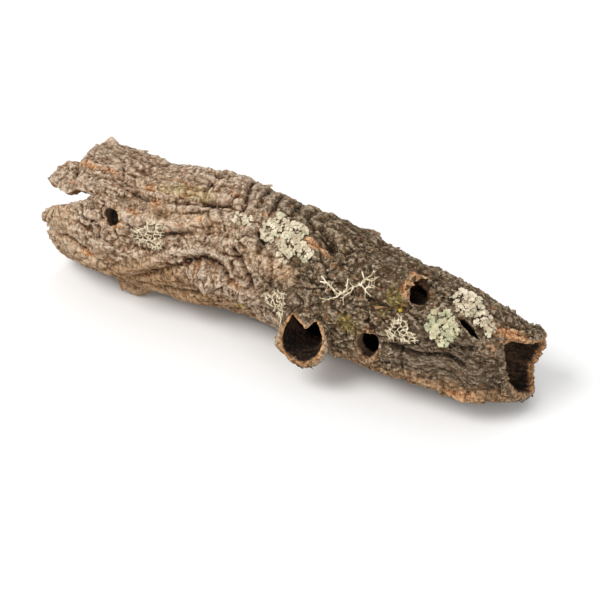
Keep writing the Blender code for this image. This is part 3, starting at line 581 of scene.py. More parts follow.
def new_object(name, points, faces):
    """An object from points in mm."""
    mesh = bpy.data.meshes.new(name)
    mesh.from_pydata([tuple(c * MM for c in p) for p in points], [], faces)
    mesh.update()
    item = bpy.data.objects.new(name, mesh)
    bpy.context.scene.collection.objects.link(item)
    return item


def unit_object(name, points, faces):
    """An object from points in metres, for shapes that are scaled when they are placed."""
    return new_object(name, [(x / MM, y / MM, z / MM) for x, y, z in points], faces)


def ring_faces(rings, around, closed=False):
    """Quads between rings of points, and end caps unless the rings close on themselves."""
    faces = []
    for i in range(rings if closed else rings - 1):
        low = i * around
        high = (i + 1) % rings * around
        for j in range(around):
            k = (j + 1) % around
            faces.append((low + j, low + k, high + k, high + j))
    if not closed:
        faces.append(tuple(range(around)))
        faces.append(tuple(range((rings - 1) * around, rings * around)))
    return faces


def outward_faces(item):
    """Triangles with their normals pointing out."""
    work = bmesh.new()
    work.from_mesh(item.data)
    bmesh.ops.triangulate(work, faces=work.faces)
    bmesh.ops.recalc_face_normals(work, faces=work.faces)
    work.to_mesh(item.data)
    work.free()


def bark_shell():
    """Outer surface, rims and bore as one closed loft, closer spaced on the front and top."""
    spread = np.linspace(-180.0, 180.0, 2000)
    density = 1.0 + 0.75 * np.exp(-(wrap(spread - 36) / 72.0) ** 4)
    run = np.cumsum(density)
    run = (run - run[0]) / (run[-1] - run[0])
    angles = np.interp(np.arange(AROUND) / AROUND, run, spread)
    rows = []
    for share in np.linspace(0.0, 1.0, ALONG):
        x = grid_x(share, angles)
        rows.append(tube_point(x, angles, outer_radius(x, angles) + fine_relief(x, angles)))
    inner_rows = []
    for step in np.linspace(0.0, math.pi, INNER_ALONG):
        x = grid_x(0.5 - 0.5 * math.cos(step), angles)
        outside = outer_radius(x, angles)
        inner_rows.append(tube_point(x, angles, inner_radius(x, angles, outside)))
    still = np.zeros(AROUND)
    drawn = angles + 11.0 * grain(still, angles, 1.0, 13.0, 42)
    uneven = np.clip(0.5 + 1.3 * grain(still, angles, 1.0, 10.0, 44), 0.15, 1.1)
    rims = []
    for k, (outer, inner) in enumerate(((rows[-1], inner_rows[-1]), (rows[0], inner_rows[0]))):
        side = 1.0 - 2.0 * k
        for step, share in enumerate(RIM_SHARES):
            crumble = 1.1 * math.sin(math.pi * share) + 0.8 * uneven * grain(
                still + step * 0.7, drawn, 1.0, 3.3, 40 + k, octaves=2)
            shift = np.stack([side * crumble, still, still], axis=-1)
            rims.append(outer * (1.0 - share) + inner * share + shift)
    right_rim = rims[:len(RIM_SHARES)]
    left_rim = rims[len(RIM_SHARES):][::-1]
    rings = rows + right_rim + inner_rows[::-1] + left_rim
    item = new_object("bark", np.concatenate(rings), ring_faces(len(rings), AROUND, True))
    outward_faces(item)
    return item


def stub_axis(stub):
    """Base point, mouth point and axis of a branch stub."""
    (bx, ba, depth), (mx, ma, height) = stub[0], stub[1]
    base = tube_vector(bx, ba, spine(bx)[2] - depth)
    mouth = tube_vector(mx, ma, spine(mx)[2] + height)
    return base, mouth, (mouth - base).normalized()


def cross_ways(axis):
    """The ways to the side and up that are square to an axis."""
    side = axis.cross(Vector((0.0, 0.0, 1.0))).normalized()
    return side, side.cross(axis)


def lumpy_cone(name, start, end, r_start, r_end, lean=0.0, lumps=0.0, seed=0, fine=0.0):
    """A closed cone with a lumpy, furrowed side; lean slopes its mouth back at the top."""
    around = 110
    along = 26
    axis = (end - start).normalized()
    side, up = cross_ways(axis)
    points = []
    stations = [(i / (along - 1), 1.0) for i in range(along)]
    stations += [(1.0, s) for s in (0.93, 0.86, 0.79, 0.72, 0.6, 0.3)]
    for t, inset in stations:
        for j in range(around):
            bend = 2.0 * math.pi * j / around
            aim = side * math.cos(bend) + up * math.sin(bend)
            push = lumps * noise.noise(aim * 1.9 + Vector((t * 1.6, seed, 0.0)))
            tip = lumps * 0.7 * noise.noise(aim * 3.1 + Vector((seed, 5.0, 0.0)))
            radius = (r_start + (r_end - r_start) * t + push) * inset
            place = aim * 7.5 * inset + Vector((t * 3.0, seed, 3.0))
            radius += fine * inset * (1.0 - 2.0 * abs(noise.noise(place)))
            radius += fine * 0.8 * inset * rugged(place * 1.7)
            tip -= lean * radius * math.sin(bend)
            tip += fine * (1.0 - t if inset == 1.0 else 1.3) * noise.noise(place * 2.2)
            points.append(start.lerp(end, t) + aim * radius + axis * tip * t * t)
    item = new_object(name, points, ring_faces(len(stations), around))
    outward_faces(item)
    return item


def heart_radius(bend):
    """Radius of the heart-shaped bore at an angle in degrees to the left of its top."""
    return np.interp(wrap(bend), [s[0] for s in HEART_OUTLINE], [s[1] for s in HEART_OUTLINE])


def heart_cutter():
    """Bore of the front stub: heart-shaped, with a tooth of bark left hanging at its top."""
    base, mouth, axis = stub_axis(HEART_STUB)
    side, up = cross_ways(axis)
    around = 96
    rings = 26
    start = base - axis * 12.0
    end = mouth + axis * 14.0
    points = []
    for i in range(rings):
        t = i / (rings - 1)
        behind = 12.0 + (mouth - base).length - t * (end - start).length
        full = float(np.interp(behind, TOOTH_BACK[::-1], (0.0, 1.0)))
        for j in range(around):
            angle = 360.0 * j / around
            radius = float(heart_radius(angle))
            radius = radius + full * max(0.0, HEART_STUB[4] - radius)
            bend = math.radians(angle)
            aim = up * math.cos(bend) + side * math.sin(bend)
            place = start.lerp(end, t) + aim * radius
            points.append(place + aim * 0.55 * rugged(place * 0.55))
    item = new_object("cutter_heart", points, ring_faces(rings, around))
    outward_faces(item)
    return item


def hole_cutter(name, hole):
    """An oval bore through the wall for a knot hole."""
    x, angle, aim_angle, half_x, half_v = hole
    centre = tube_vector(x, angle, spine(x)[2])
    aim = outward(aim_angle)
    across = aim.cross(Vector((1.0, 0.0, 0.0)))
    around = 56
    depths = np.linspace(-15.0, 9.0, 17)
    points = []
    for depth in depths:
        scale = float(np.interp(depth, (-15.0, -3.0, 9.0), (0.8, 0.9, 1.25)))
        for j in range(around):
            bend = 2.0 * math.pi * j / around
            wobble = 1.0 + 0.12 * math.sin(2.0 * bend + x) + 0.07 * math.sin(3.0 * bend)
            size = scale * wobble
            place = centre + aim * float(depth) + Vector((half_x * size * math.cos(bend), 0, 0))
            place = place + across * half_v * size * math.sin(bend)
            away = (place - centre - aim * float(depth)).normalized()
            points.append(place + away * 0.5 * rugged(place * 0.6))
    item = new_object(name, points, ring_faces(len(depths), around))
    outward_faces(item)
    return item


def wall_cutter(name, outline, deep=16.0, high=22.0):
    """A prism through the wall from an outline of (x, angle), with crumbly sides."""
    rim = []
    for (x0, a0), (x1, a1) in zip(outline, list(outline[1:]) + [outline[0]]):
        steps = max(1, round(math.hypot(x1 - x0, math.radians(a1 - a0) * MEAN_RADIUS)))
        for i in range(steps):
            rim.append((x0 + (x1 - x0) * i / steps, a0 + (a1 - a0) * i / steps))
    offsets = np.linspace(-deep, high, 24)
    points = []
    for offset in offsets:
        for x, angle in rim:
            place = tube_vector(x, angle, spine(x)[2] + offset)
            jag_x = noise.noise(Vector((x * 0.33, angle * 0.2, 4.0)))
            x_here = x + 0.55 * rugged(place * 0.4) + 0.6 * jag_x
            angle_here = angle + 0.9 * rugged(place * 0.4 + Vector((7.0, 0.0, 0.0)))
            points.append(tube_point(np.array(x_here), angle_here, spine(x)[2] + offset))
    item = new_object(name, points, ring_faces(len(offsets), len(rim)))
    outward_faces(item)
    return item


def baked(item, name):
    """A plain mesh of the object with its modifiers applied."""
    bpy.context.view_layer.update()
    graph = bpy.context.evaluated_depsgraph_get()
    mesh = bpy.data.meshes.new_from_object(item.evaluated_get(graph))
    item.modifiers.clear()
    mesh.name = name
    return mesh


def combine(item, tool, operation):
    change = item.modifiers.new(operation.lower(), "BOOLEAN")
    change.operation = operation
    change.solver = "MANIFOLD"
    change.object = tool
    item.data = baked(item, item.name)
    bpy.data.objects.remove(tool, do_unlink=True)


def largest_body(item):
    """Keep the largest connected body and drop loose scraps."""
    work = bmesh.new()
    work.from_mesh(item.data)
    bmesh.ops.triangulate(work, faces=work.faces)
    bmesh.ops.dissolve_degenerate(work, dist=0.00002, edges=work.edges)
    bmesh.ops.triangulate(work, faces=work.faces)
    unseen = set(work.verts)
    bodies = []
    while unseen:
        stack = [unseen.pop()]
        body = []
        while stack:
            vertex = stack.pop()
            body.append(vertex)
            for edge in vertex.link_edges:
                other = edge.other_vert(vertex)
                if other in unseen:
                    unseen.remove(other)
                    stack.append(other)
        bodies.append(body)
    bodies.sort(key=len)
    scraps = [vertex for body in bodies[:-1] for vertex in body]
    bmesh.ops.delete(work, geom=scraps, context="VERTS")
    work.to_mesh(item.data)
    work.free()


bark = bark_shell()
for name, stub, seed in (("stub_heart", HEART_STUB, 2.0), ("stub_hood", HOOD_STUB, 6.0)):
    base, mouth, _ = stub_axis(stub)
    combine(bark, lumpy_cone(name, base, mouth, stub[2], stub[3], stub[5], stub[6], seed, 0.55),
            "UNION")
root, tip = HOOD_LIP
ends = [tube_vector(x, angle, spine(x)[2] + height) for x, angle, height, _ in HOOD_LIP]
combine(bark, lumpy_cone("stub_lip", ends[0], ends[1], root[3], tip[3], lumps=0.5, seed=9.0,
                         fine=0.2), "UNION")
base, mouth, axis = stub_axis(HOOD_STUB)
tools = [heart_cutter()]
tools.append(lumpy_cone("cutter_hood", base - axis * 16.0 + outward(60) * -9.0,
                        mouth + axis * 9.0 + Vector((2.0, 0.0, 0.0)), 5.0, HOOD_STUB[4] + 1.4,
                        lumps=1.2, seed=3.0, fine=0.5))
tools += [hole_cutter(f"cutter_hole_{i}", hole) for i, hole in enumerate(KNOT_HOLES)]
radius_there = spine(SPLIT_PLACE[0])[2]
tools.append(wall_cutter("cutter_split", [
    (SPLIT_PLACE[0] + s, SPLIT_PLACE[1] + SPLIT_FALL * s + math.degrees(t / radius_there))
    for s, t in SPLIT]))
tools += [wall_cutter(f"cutter_break_{i}", outline) for i, outline in enumerate(BREAKS.values())]
for tool in tools:
    combine(bark, tool, "DIFFERENCE")
largest_body(bark)


def read_points(mesh):
    flat = np.empty(len(mesh.vertices) * 3)
    mesh.vertices.foreach_get("co", flat)
    return flat.reshape(-1, 3)


def read_edges(mesh):
    flat = np.empty(len(mesh.edges) * 2, dtype=np.int64)
    mesh.edges.foreach_get("vertices", flat)
    return flat.reshape(-1, 2)


def smoothed(points, edges, rounds):
    """Points drawn towards their neighbours again and again."""
    count = len(points)
    ends = np.concatenate((edges[:, 0], edges[:, 1]))
    others = np.concatenate((edges[:, 1], edges[:, 0]))
    neighbours = np.bincount(ends, minlength=count)[:, None]
    for _ in range(rounds):
        total = [np.bincount(ends, weights=points[others, k], minlength=count) for k in range(3)]
        points = 0.4 * points + 0.6 * np.stack(total, axis=1) / neighbours
    return points


def store(mesh, name, values):
    mesh.attributes.new(name, "FLOAT", "POINT").data.foreach_set(
        "value", np.asarray(values, dtype=np.float32))


# How far every piece stays inside the frame's box, and what counts as lying on the surface
BOX_MARGIN = 0.03 * MM
RESTING = 0.15 * MM
points = read_points(bark.data)
low = np.array(cad_low) + BOX_MARGIN
high = np.array(cad_high) - BOX_MARGIN
points = np.clip(points, low, high)
points[:, 2] = np.where(points[:, 2] < RESTING, 0.0, points[:, 2])
bark.data.vertices.foreach_set("co", points.ravel())
bark.data.update()

normals = np.empty(len(points) * 3)
bark.data.vertices.foreach_get("normal", normals)
normals = normals.reshape(-1, 3)
edges = read_edges(bark.data)
# Painted shade: depth below the nearby surface, close by and wider, by which the material darkens
# creases and hollows and lightens crests.
near = smoothed(points, edges, 5)
wide = smoothed(near, edges, 45)
store(bark.data, "cavity", ((points - near) * normals).sum(axis=1) / MM)
store(bark.data, "hollow", ((near - wide) * normals).sum(axis=1) / MM)

place = points / MM
place_y, place_z, _ = spine(place[:, 0])
away_y = place[:, 1] - place_y
away_z = place[:, 2] - place_z
at_angle = np.degrees(np.arctan2(away_z, -away_y))
at_x = place[:, 0]
at_radius = np.hypot(away_y, away_z)
skin = outer_radius(at_x, at_angle)
wall_in = inner_radius(at_x, at_angle, skin)

# Sectors round a stub in which its broken edge is looked for
SECTORS = 60
bore = 1.0 - step_up(at_radius - wall_in, 0.6, 1.8)
under_skin = step_up(skin - at_radius, 0.9, 2.2) * (1.0 - bore)
for stub in (HEART_STUB, HOOD_STUB):
    base, mouth, axis = stub_axis(stub)
    offset = place - np.array(base)
    ahead = offset @ np.array(axis)
    aside = np.linalg.norm(offset - ahead[:, None] * np.array(axis), axis=1)
    to_side, to_top = (offset @ np.array(way) for way in cross_ways(axis))
    close = step_up(ahead, -16.0, -8.0) * (aside < stub[2] + 3.0)
    bend = np.degrees(np.arctan2(to_side, to_top))
    edge_at = heart_radius(bend) if stub is HEART_STUB else np.full(len(place), stub[4])
    edge_at = edge_at + 0.5 * grain(at_x, at_angle, 3.0, 3.0, 39)
    at_edge = (np.abs(aside - edge_at) < 1.3) & (ahead > 0.0)
    sector = ((bend + 180.0) // (360.0 / SECTORS)).astype(int) % SECTORS
    front = np.zeros(SECTORS)
    np.maximum.at(front, sector[at_edge], ahead[at_edge])
    behind = front[sector] - ahead
    rim = (1.0 - step_up(behind, 0.9, 2.0)) * close
    rim = rim * step_up(aside, edge_at - 1.2, edge_at - 0.2)
    band = 1.3 if stub is HEART_STUB else 0.4
    rim = rim * (1.0 - step_up(aside, edge_at + band, edge_at + band + 0.8))
    if stub is HOOD_STUB:
        upper = step_up(to_top, -3.0, 1.0) + 0.7 * step_up(to_side, 2.0, 5.0)
        rim = rim * np.clip(upper, 0.1, 1.0)
    inside = (1.0 - step_up(aside, edge_at + 0.9, edge_at + 1.6)) * close
    inside = inside * step_up(behind, 0.9, 2.0)
    bore = np.maximum(bore * (1.0 - rim), inside * (1.0 - rim))
    under_skin = np.maximum(under_skin * (1.0 - inside), rim)
# Painted shade: beside the hood, the floor that lies deep below the skin takes the dark bore
# colour.
beside_hood = patch(at_x, at_angle, 94, 61, 8, 9, 2)
deep_hood = step_up(skin - at_radius, 2.2, 3.4) * beside_hood
under_skin = under_skin * (1.0 - 0.85 * beside_hood)
bore = np.maximum(bore, deep_hood)
# Painted shade: the walls of each knot hole take the dark bore colour by their depth below the
# skin.
for x0, a0, _, half_x, half_v in KNOT_HOLES:
    well = patch(at_x, at_angle, x0, a0, half_x + 2.5, half_v + 2.5, 3)
    deep = step_up(skin - at_radius, 1.2, 2.6) * well
    lip = patch(at_x, at_angle, x0, a0, half_x + 2.0, half_v + 2.0, 4) * (1.0 - deep)
    bore = np.maximum(bore, deep)
    under_skin = np.maximum(under_skin * (1.0 - deep), 0.55 * lip)
rim_at = grid_x(np.ones(len(place)), at_angle)
facing = step_up(wrap(at_angle - 60), 0.0, 12.0) + (wrap(at_angle) < -70)
ragged_edge = 0.8 * grain(np.zeros(len(place)), at_angle, 1.0, 5.0, 36, octaves=2)
broken_edge = step_up(at_x - rim_at + ragged_edge, -2.0, -1.4) * np.clip(facing, 0.0, 1.0)
near_rim = step_up(at_x - rim_at, -4.0, -2.0) * (np.abs(wrap(at_angle + 8)) < 62)
under_skin = under_skin * (1.0 - 0.6 * near_rim)
under_skin = np.maximum(under_skin, bore * broken_edge)
bore = bore * (1.0 - broken_edge)
store(bark.data, "bore", bore)
store(bark.data, "under_skin", under_skin)
store(bark.data, "shade", np.full(len(place), 0.5))

# Where the bark has weathered in its own way, and where painted bounced light warms its lower
# side: x, angle, half length, half width, strength
TONES = {
    "pale": ((-131, 12, 18, 17, 1.0), (-120, -18, 28, 14, 0.7), (-50, 48, 34, 7, 0.7),
             (12, 34, 14, 8, 0.7), (-4, 34, 14, 9, 0.5), (-70, 78, 34, 16, 0.35),
             (132, 42, 6, 7, 0.4)),
    # The warm tone on the lower side is partly the bark's own colour and partly painted light
    # bounced up from the floor.
    "warm": ((-100, -32, 50, 20, 0.9), (-40, -38, 50, 18, 0.8), (-112, -10, 16, 8, 0.7),
             (-60, -10, 28, 12, 0.8), (95, -34, 50, 10, 1.0), (125, -28, 26, 10, 0.8),
             (60, -50, 60, 20, 0.7), (-60, -70, 90, 30, 0.6), (60, -90, 90, 30, 0.6)),
    "olive": ((-54, 77, 14, 6, 0.9), (-70, 75, 10, 5, 0.5), (-62, 52, 8, 3, 0.4)),
    "grey": ((112, 12, 34, 22, 1.0), (96, 4, 34, 14, 0.5), (128, 30, 18, 14, 0.6)),
    "moss": ((80, 52, 6.0, 4.6, 0.8), (56, 14, 6, 6, 0.75), (62, 10, 5, 4, 0.5),
             (-88, 54, 4, 4, 0.3), (74, 38, 5, 4, 0.5)),
    "fresh": ((-77, 71, 3.4, 3.0, 1.0), (-70, 58, 3.6, 2.6, 1.0), (-118, 70, 9, 2.0, 0.8),
              (-103, 72, 8, 1.8, 0.6), (26, 68, 5.5, 3.0, 1.0), (33, 70, 3.4, 3.0, 0.6),
              (7, 60, 2.6, 2.2, 0.9), (-40, 50, 3.0, 1.8, 0.7), (-106, -10, 4.2, 3.2, 1.0),
              (90, 73, 6, 3.2, 0.9), (87, 60, 5, 3.6, 0.9), (122, -24, 10, 3.5, 0.8),
              (139, 71, 8, 4, 1.0), (132, 65, 7, 3, 0.8), (-30, 84, 5, 1.2, 0.6),
              (-62, 88, 6, 1.0, 0.6), (44, 58, 5, 1.5, 0.5), (36, 64, 4, 1.6, 0.6),
              (-86, 30, 4, 2.5, 0.7), (-80, 44, 5, 2.6, 0.6), (-8, 74, 4, 2, 0.5)),
    "yellow": ((83, 45, 1.3, 1.1, 1.0), (-11, -16, 1.6, 1.4, 1.0), (-14, -22, 1.0, 1.0, 0.9)),
}


def store_tones(mesh, x, angle):
    """Stores how strongly each of the tones shows at each place."""
    for tone, patches in TONES.items():
        total = np.zeros(len(x))
        for px, pa, hx, hv, strength in patches:
            total = np.maximum(total, strength * patch(x, angle, px, pa, hx, hv, 1.6))
        store(mesh, tone, total)
    store(mesh, "left", fading(x + 0.3 * wrap(angle), 12.0, 20.0))


store_tones(bark.data, at_x, at_angle)
# Where fine streaks follow the grain, and where they run across it
SWIRL_STREAKS = (112, 12, 29, 20)
FLOWING = ((-131, 14, 17, 15, 0.8), (70, 58, 12, 7, 0.6))
BARRED = ((-50, -16, 44, 20, 1.0), (14, 26, 17, 9, 1.0), (-5, 2, 22, 16, 1.0),
          (-42, 74, 34, 13, 0.9), (-4, 98, 46, 22, 0.7))


def strongest(patches):
    """The strongest of several patches at each place of the bark."""
    return np.max([strength * patch(at_x, at_angle, *place, 2)
                   for *place, strength in patches], axis=0)


in_swirl = patch(at_x, at_angle, *SWIRL_STREAKS, 2)
in_swirl = in_swirl * (1.0 - region(at_x, at_angle, "knobbly lip"))
flowing = np.maximum(in_swirl, strongest(FLOWING))
barred = np.maximum(0.55 * fading(at_x, 5.0, 12.0), strongest(BARRED))
store(bark.data, "flowing", flowing)
store(bark.data, "barred", barred)
girth = spine(at_x)[2] * np.radians(at_angle)
store(bark.data, "along_flow", at_x)
store(bark.data, "across_flow", spine(at_x)[2] * np.radians(swirl_angle(at_x, at_angle)))
store(bark.data, "along_bars", girth)
store(bark.data, "across_bars",
      sheared_x(at_x, at_angle) + 1.6 * grain(at_x, at_angle, 14, 9, 38))
smooth_bark = np.max([flowing, 0.8 * barred, seat_field(at_x, at_angle)], axis=0)
holding = np.clip(0.55 + 1.7 * grain(at_x, at_angle, 15, 10, 35), 0.1, 1.0)
scaly = holding * (1.0 - smooth_bark) * (1.0 - np.clip(bore + under_skin, 0.0, 1.0))
for x0, a0, _, half_x, half_v in KNOT_HOLES:
    scaly *= 1.0 - patch(at_x, at_angle, x0, a0, half_x + 3.5, half_v + 3.5, 4)
scaly *= 1.0 - patch(at_x, at_angle, 120, 55, 11, 5, 4)
scaly = np.where(place[:, 2] < 2.5, 0.0, scaly)
store(bark.data, "scaly", scaly)


def feed(tree, socket, value):
    """Links another node's output to a socket, or sets its value or colour."""
    if isinstance(value, bpy.types.NodeSocket):
        tree.links.new(value, socket)
    elif isinstance(value, tuple) and socket.type == "RGBA":
        socket.default_value = (*value, 1.0)
    else:
        socket.default_value = value


def tone_of(tree, name):
    """The value of one of the mesh's own attributes."""
    node = tree.nodes.new("ShaderNodeAttribute")
    node.attribute_name = name
    return node.outputs["Fac"]


def sums(tree, operation, first, second=0.0, clamp=False):
    node = tree.nodes.new("ShaderNodeMath")
    node.operation = operation
    node.use_clamp = clamp
    feed(tree, node.inputs[0], first)
    feed(tree, node.inputs[1], second)
    return node.outputs[0]


def times(tree, first, second):
    return sums(tree, "MULTIPLY", first, second)


def total(tree, first, *parts, clamp=False):
    """The sum of several values, kept between 0 and 1 at the end where asked."""
    for number, part in enumerate(parts, start=1):
        first = sums(tree, "ADD", first, part, clamp=clamp and number == len(parts))
    return first


def blend(tree, share, first, second):
    """One colour over another by a share."""
    node = tree.nodes.new("ShaderNodeMix")
    node.data_type = "RGBA"
    feed(tree, node.inputs[0], share)
    feed(tree, node.inputs[6], first)
    feed(tree, node.inputs[7], second)
    return node.outputs[2]


def ramp(tree, value, stops):
    """A colour ramp from stops of (place, colour)."""
    node = tree.nodes.new("ShaderNodeValToRGB")
    marks = node.color_ramp.elements
    while len(marks) < len(stops):
        marks.new(0.5)
    for mark, (at, colour) in zip(marks, stops):
        mark.position = at
        mark.color = (*srgb(*colour), 1.0)
    feed(tree, node.inputs[0], value)
    return node.outputs[0]


def object_place(tree, stretch=(1.0, 1.0, 1.0)):
    """Object coordinates, closer together along a stretched axis."""
    here = tree.nodes.new("ShaderNodeTexCoord")
    mapping = tree.nodes.new("ShaderNodeMapping")
    mapping.inputs["Scale"].default_value = stretch
    tree.links.new(here.outputs["Object"], mapping.inputs["Vector"])
    return mapping.outputs[0]


def speckle(tree, place, size_mm, detail=3.0, roughness=0.6):
    """Noise with features of about a size in mm, near 0.5 on average."""
    node = tree.nodes.new("ShaderNodeTexNoise")
    node.inputs["Scale"].default_value = 1.0 / (size_mm * MM)
    node.inputs["Detail"].default_value = detail
    node.inputs["Roughness"].default_value = roughness
    tree.links.new(place, node.inputs["Vector"])
    return node.outputs["Fac"]


def cells(tree, place, size_mm, feature="DISTANCE_TO_EDGE"):
    """Distance to the edge or centre of cells of about a size in mm."""
    node = tree.nodes.new("ShaderNodeTexVoronoi")
    node.feature = feature
    node.inputs["Scale"].default_value = 1.0 / (size_mm * MM)
    tree.links.new(place, node.inputs["Vector"])
    return node.outputs["Distance"]


def spread(tree, value, low_in, high_in, low_out=0.0, high_out=1.0):
    """Maps a value from one range to another, clamped."""
    node = tree.nodes.new("ShaderNodeMapRange")
    feed(tree, node.inputs["Value"], value)
    node.inputs["From Min"].default_value = low_in
    node.inputs["From Max"].default_value = high_in
    node.inputs["To Min"].default_value = low_out
    node.inputs["To Max"].default_value = high_out
    return node.outputs["Result"]


def bumped(tree, shader, height, strength, distance_mm):
    """Fine relief in the shading from a height value."""
    relief = tree.nodes.new("ShaderNodeBump")
    relief.inputs["Strength"].default_value = strength
    relief.inputs["Distance"].default_value = distance_mm * MM
    tree.links.new(height, relief.inputs["Height"])
    tree.links.new(relief.outputs[0], shader.inputs["Normal"])


def crumb_values(tree, place, size_mm):
    """Three random values for each crumb-like cell of about a size in mm."""
    node = tree.nodes.new("ShaderNodeTexVoronoi")
    node.inputs["Scale"].default_value = 1.0 / (size_mm * MM)
    tree.links.new(place, node.inputs["Vector"])
    parts = tree.nodes.new("ShaderNodeSeparateColor")
    tree.links.new(node.outputs["Color"], parts.inputs[0])
    return parts.outputs[0], parts.outputs[1], parts.outputs[2]


def ruffled(tree, place, size_mm, shift_mm):
    """Coordinates pushed about a little, so that straight edges come out uneven."""
    node = tree.nodes.new("ShaderNodeTexNoise")
    node.inputs["Scale"].default_value = 1.0 / (size_mm * MM)
    tree.links.new(place, node.inputs["Vector"])
    push = tree.nodes.new("ShaderNodeVectorMath")
    push.operation = "MULTIPLY_ADD"
    push.inputs[1].default_value = (2.0 * shift_mm * MM,) * 3
    tree.links.new(node.outputs["Color"], push.inputs[0])
    tree.links.new(place, push.inputs[2])
    return push.outputs[0]


def fibres(tree, along, across, long_mm, thin_mm):
    """Streaks that follow two of the mesh's own coordinates, near 0.5 on average."""
    joined = tree.nodes.new("ShaderNodeCombineXYZ")
    feed(tree, joined.inputs[0], times(tree, tone_of(tree, along), 1.0 / long_mm))
    feed(tree, joined.inputs[1], times(tree, tone_of(tree, across), 1.0 / thin_mm))
    node = tree.nodes.new("ShaderNodeTexNoise")
    node.inputs["Scale"].default_value = 1.0
    node.inputs["Detail"].default_value = 2.0
    tree.links.new(joined.outputs[0], node.inputs["Vector"])
    return node.outputs["Fac"]


cork, tree, shader = new_material("weathered_cork_bark", 0.92, 0.18)
here = object_place(tree)
drawn = object_place(tree, (0.35, 1.0, 1.0))
across = object_place(tree, (1.0, 0.3, 0.3))
cavity = tone_of(tree, "cavity")
hollow = tone_of(tree, "hollow")
shade = tone_of(tree, "shade")
fine = speckle(tree, here, 0.9, 4.0, 0.7)
middling = speckle(tree, drawn, 4.5, 4.0, 0.65)
broad = speckle(tree, here, 16.0, 3.0, 0.6)
flecks = speckle(tree, across, 1.4, 3.0, 0.7)
uneven = ruffled(tree, object_place(tree, (0.7, 1.0, 1.0)), 1.1, 0.5)
crumb_tone, crumb_warm, crumb_odd = crumb_values(tree, uneven, 1.15)
chip_tone, _, chip_level = crumb_values(tree, uneven, 2.6)
flowing = tone_of(tree, "flowing")
barred = tone_of(tree, "barred")
flow_lines = fibres(tree, "along_flow", "across_flow", 11.0, 0.95)
bar_lines = fibres(tree, "along_bars", "across_bars", 7.0, 1.5)
combed = sums(tree, "MAXIMUM", flowing, barred)
crumbly_here = sums(tree, "SUBTRACT", 1.0, times(tree, combed, 0.5))
streaks = total(tree, times(tree, flowing, spread(tree, flow_lines, 0.3, 0.7, -1.0, 1.0)),
                times(tree, barred, spread(tree, bar_lines, 0.3, 0.7, -1.0, 1.0)))
crumb_part = total(tree, spread(tree, crumb_tone, 0.0, 1.0, -0.18, 0.2),
                   spread(tree, chip_tone, 0.0, 1.0, -0.1, 0.12))
# The tone is darkened in creases and wider hollows and lightened on crests, as painted shade and
# light.
tone = total(
    tree,
    spread(tree, tone_of(tree, "left"), 0.0, 1.0, 0.53, 0.605),
    times(tree, cavity, 0.7),
    times(tree, hollow, 0.16),
    spread(tree, shade, 0.0, 1.0, -0.13, 0.13),
    spread(tree, fine, 0.25, 0.75, -0.25, 0.25),
    times(tree, crumb_part, crumbly_here),
    times(tree, streaks, 0.15),
    spread(tree, middling, 0.3, 0.7, -0.13, 0.13),
    spread(tree, broad, 0.35, 0.65, -0.09, 0.09),
    spread(tree, flecks, 0.3, 0.7, -0.08, 0.08),
    clamp=True)
# Colours from the darkest cracks to the palest crests: tone, screen colour
CORK = {
    "left": ((0.0, (46, 32, 20)), (0.22, (88, 65, 45)), (0.45, (132, 106, 82)),
             (0.68, (166, 139, 114)), (1.0, (212, 190, 166))),
    "right": ((0.0, (32, 24, 14)), (0.25, (59, 46, 30)), (0.5, (87, 71, 50)),
              (0.75, (117, 98, 75)), (1.0, (168, 150, 127))),
    # Warm ramp: the lower side's own colour together with painted bounced light.
    "warm": ((0.0, (52, 34, 18)), (0.3, (98, 70, 44)), (0.6, (138, 105, 72)),
             (1.0, (190, 155, 118))),
    "pale": ((0.0, (84, 60, 38)), (0.3, (140, 109, 79)), (0.6, (180, 148, 115)),
             (1.0, (216, 190, 160))),
    "olive": ((0.0, (82, 62, 34)), (0.4, (146, 121, 83)), (0.8, (192, 166, 126)),
              (1.0, (214, 194, 152))),
    "grey": ((0.0, (32, 24, 16)), (0.3, (63, 50, 36)), (0.6, (95, 79, 61)),
             (1.0, (148, 131, 109))),
    "fresh": ((0.0, (92, 50, 28)), (0.35, (150, 94, 56)), (0.65, (186, 132, 89)),
              (1.0, (220, 176, 132))),
    "moss": ((0.0, (58, 46, 22)), (0.4, (100, 84, 42)), (0.8, (136, 119, 62)),
             (1.0, (166, 148, 92))),
    "bore": ((0.0, (12, 8, 5)), (0.4, (30, 21, 14)), (0.7, (50, 36, 25)),
             (1.0, (84, 62, 44))),
    "under_skin": ((0.0, (66, 38, 20)), (0.35, (126, 81, 47)), (0.7, (170, 120, 77)),
                   (1.0, (200, 154, 108))),
}
ragged = spread(tree, middling, 0.3, 0.7, -0.35, 0.35)


def mask(name, sharp=2.2):
    """A patch whose edge is broken up by the grain."""
    raised = sums(tree, "ADD", times(tree, tone_of(tree, name), sharp), ragged)
    lowered = sums(tree, "SUBTRACT", raised, 0.5 * (sharp - 1.0) * 0.8, clamp=True)
    return times(tree, lowered, spread(tree, tone_of(tree, name), 0.02, 0.2))


colour = ramp(tree, tone, CORK["right"])
for name in ("left", "grey", "warm", "pale", "olive", "moss", "fresh"):
    colour = blend(tree, mask(name), colour, ramp(tree, tone, CORK[name]))
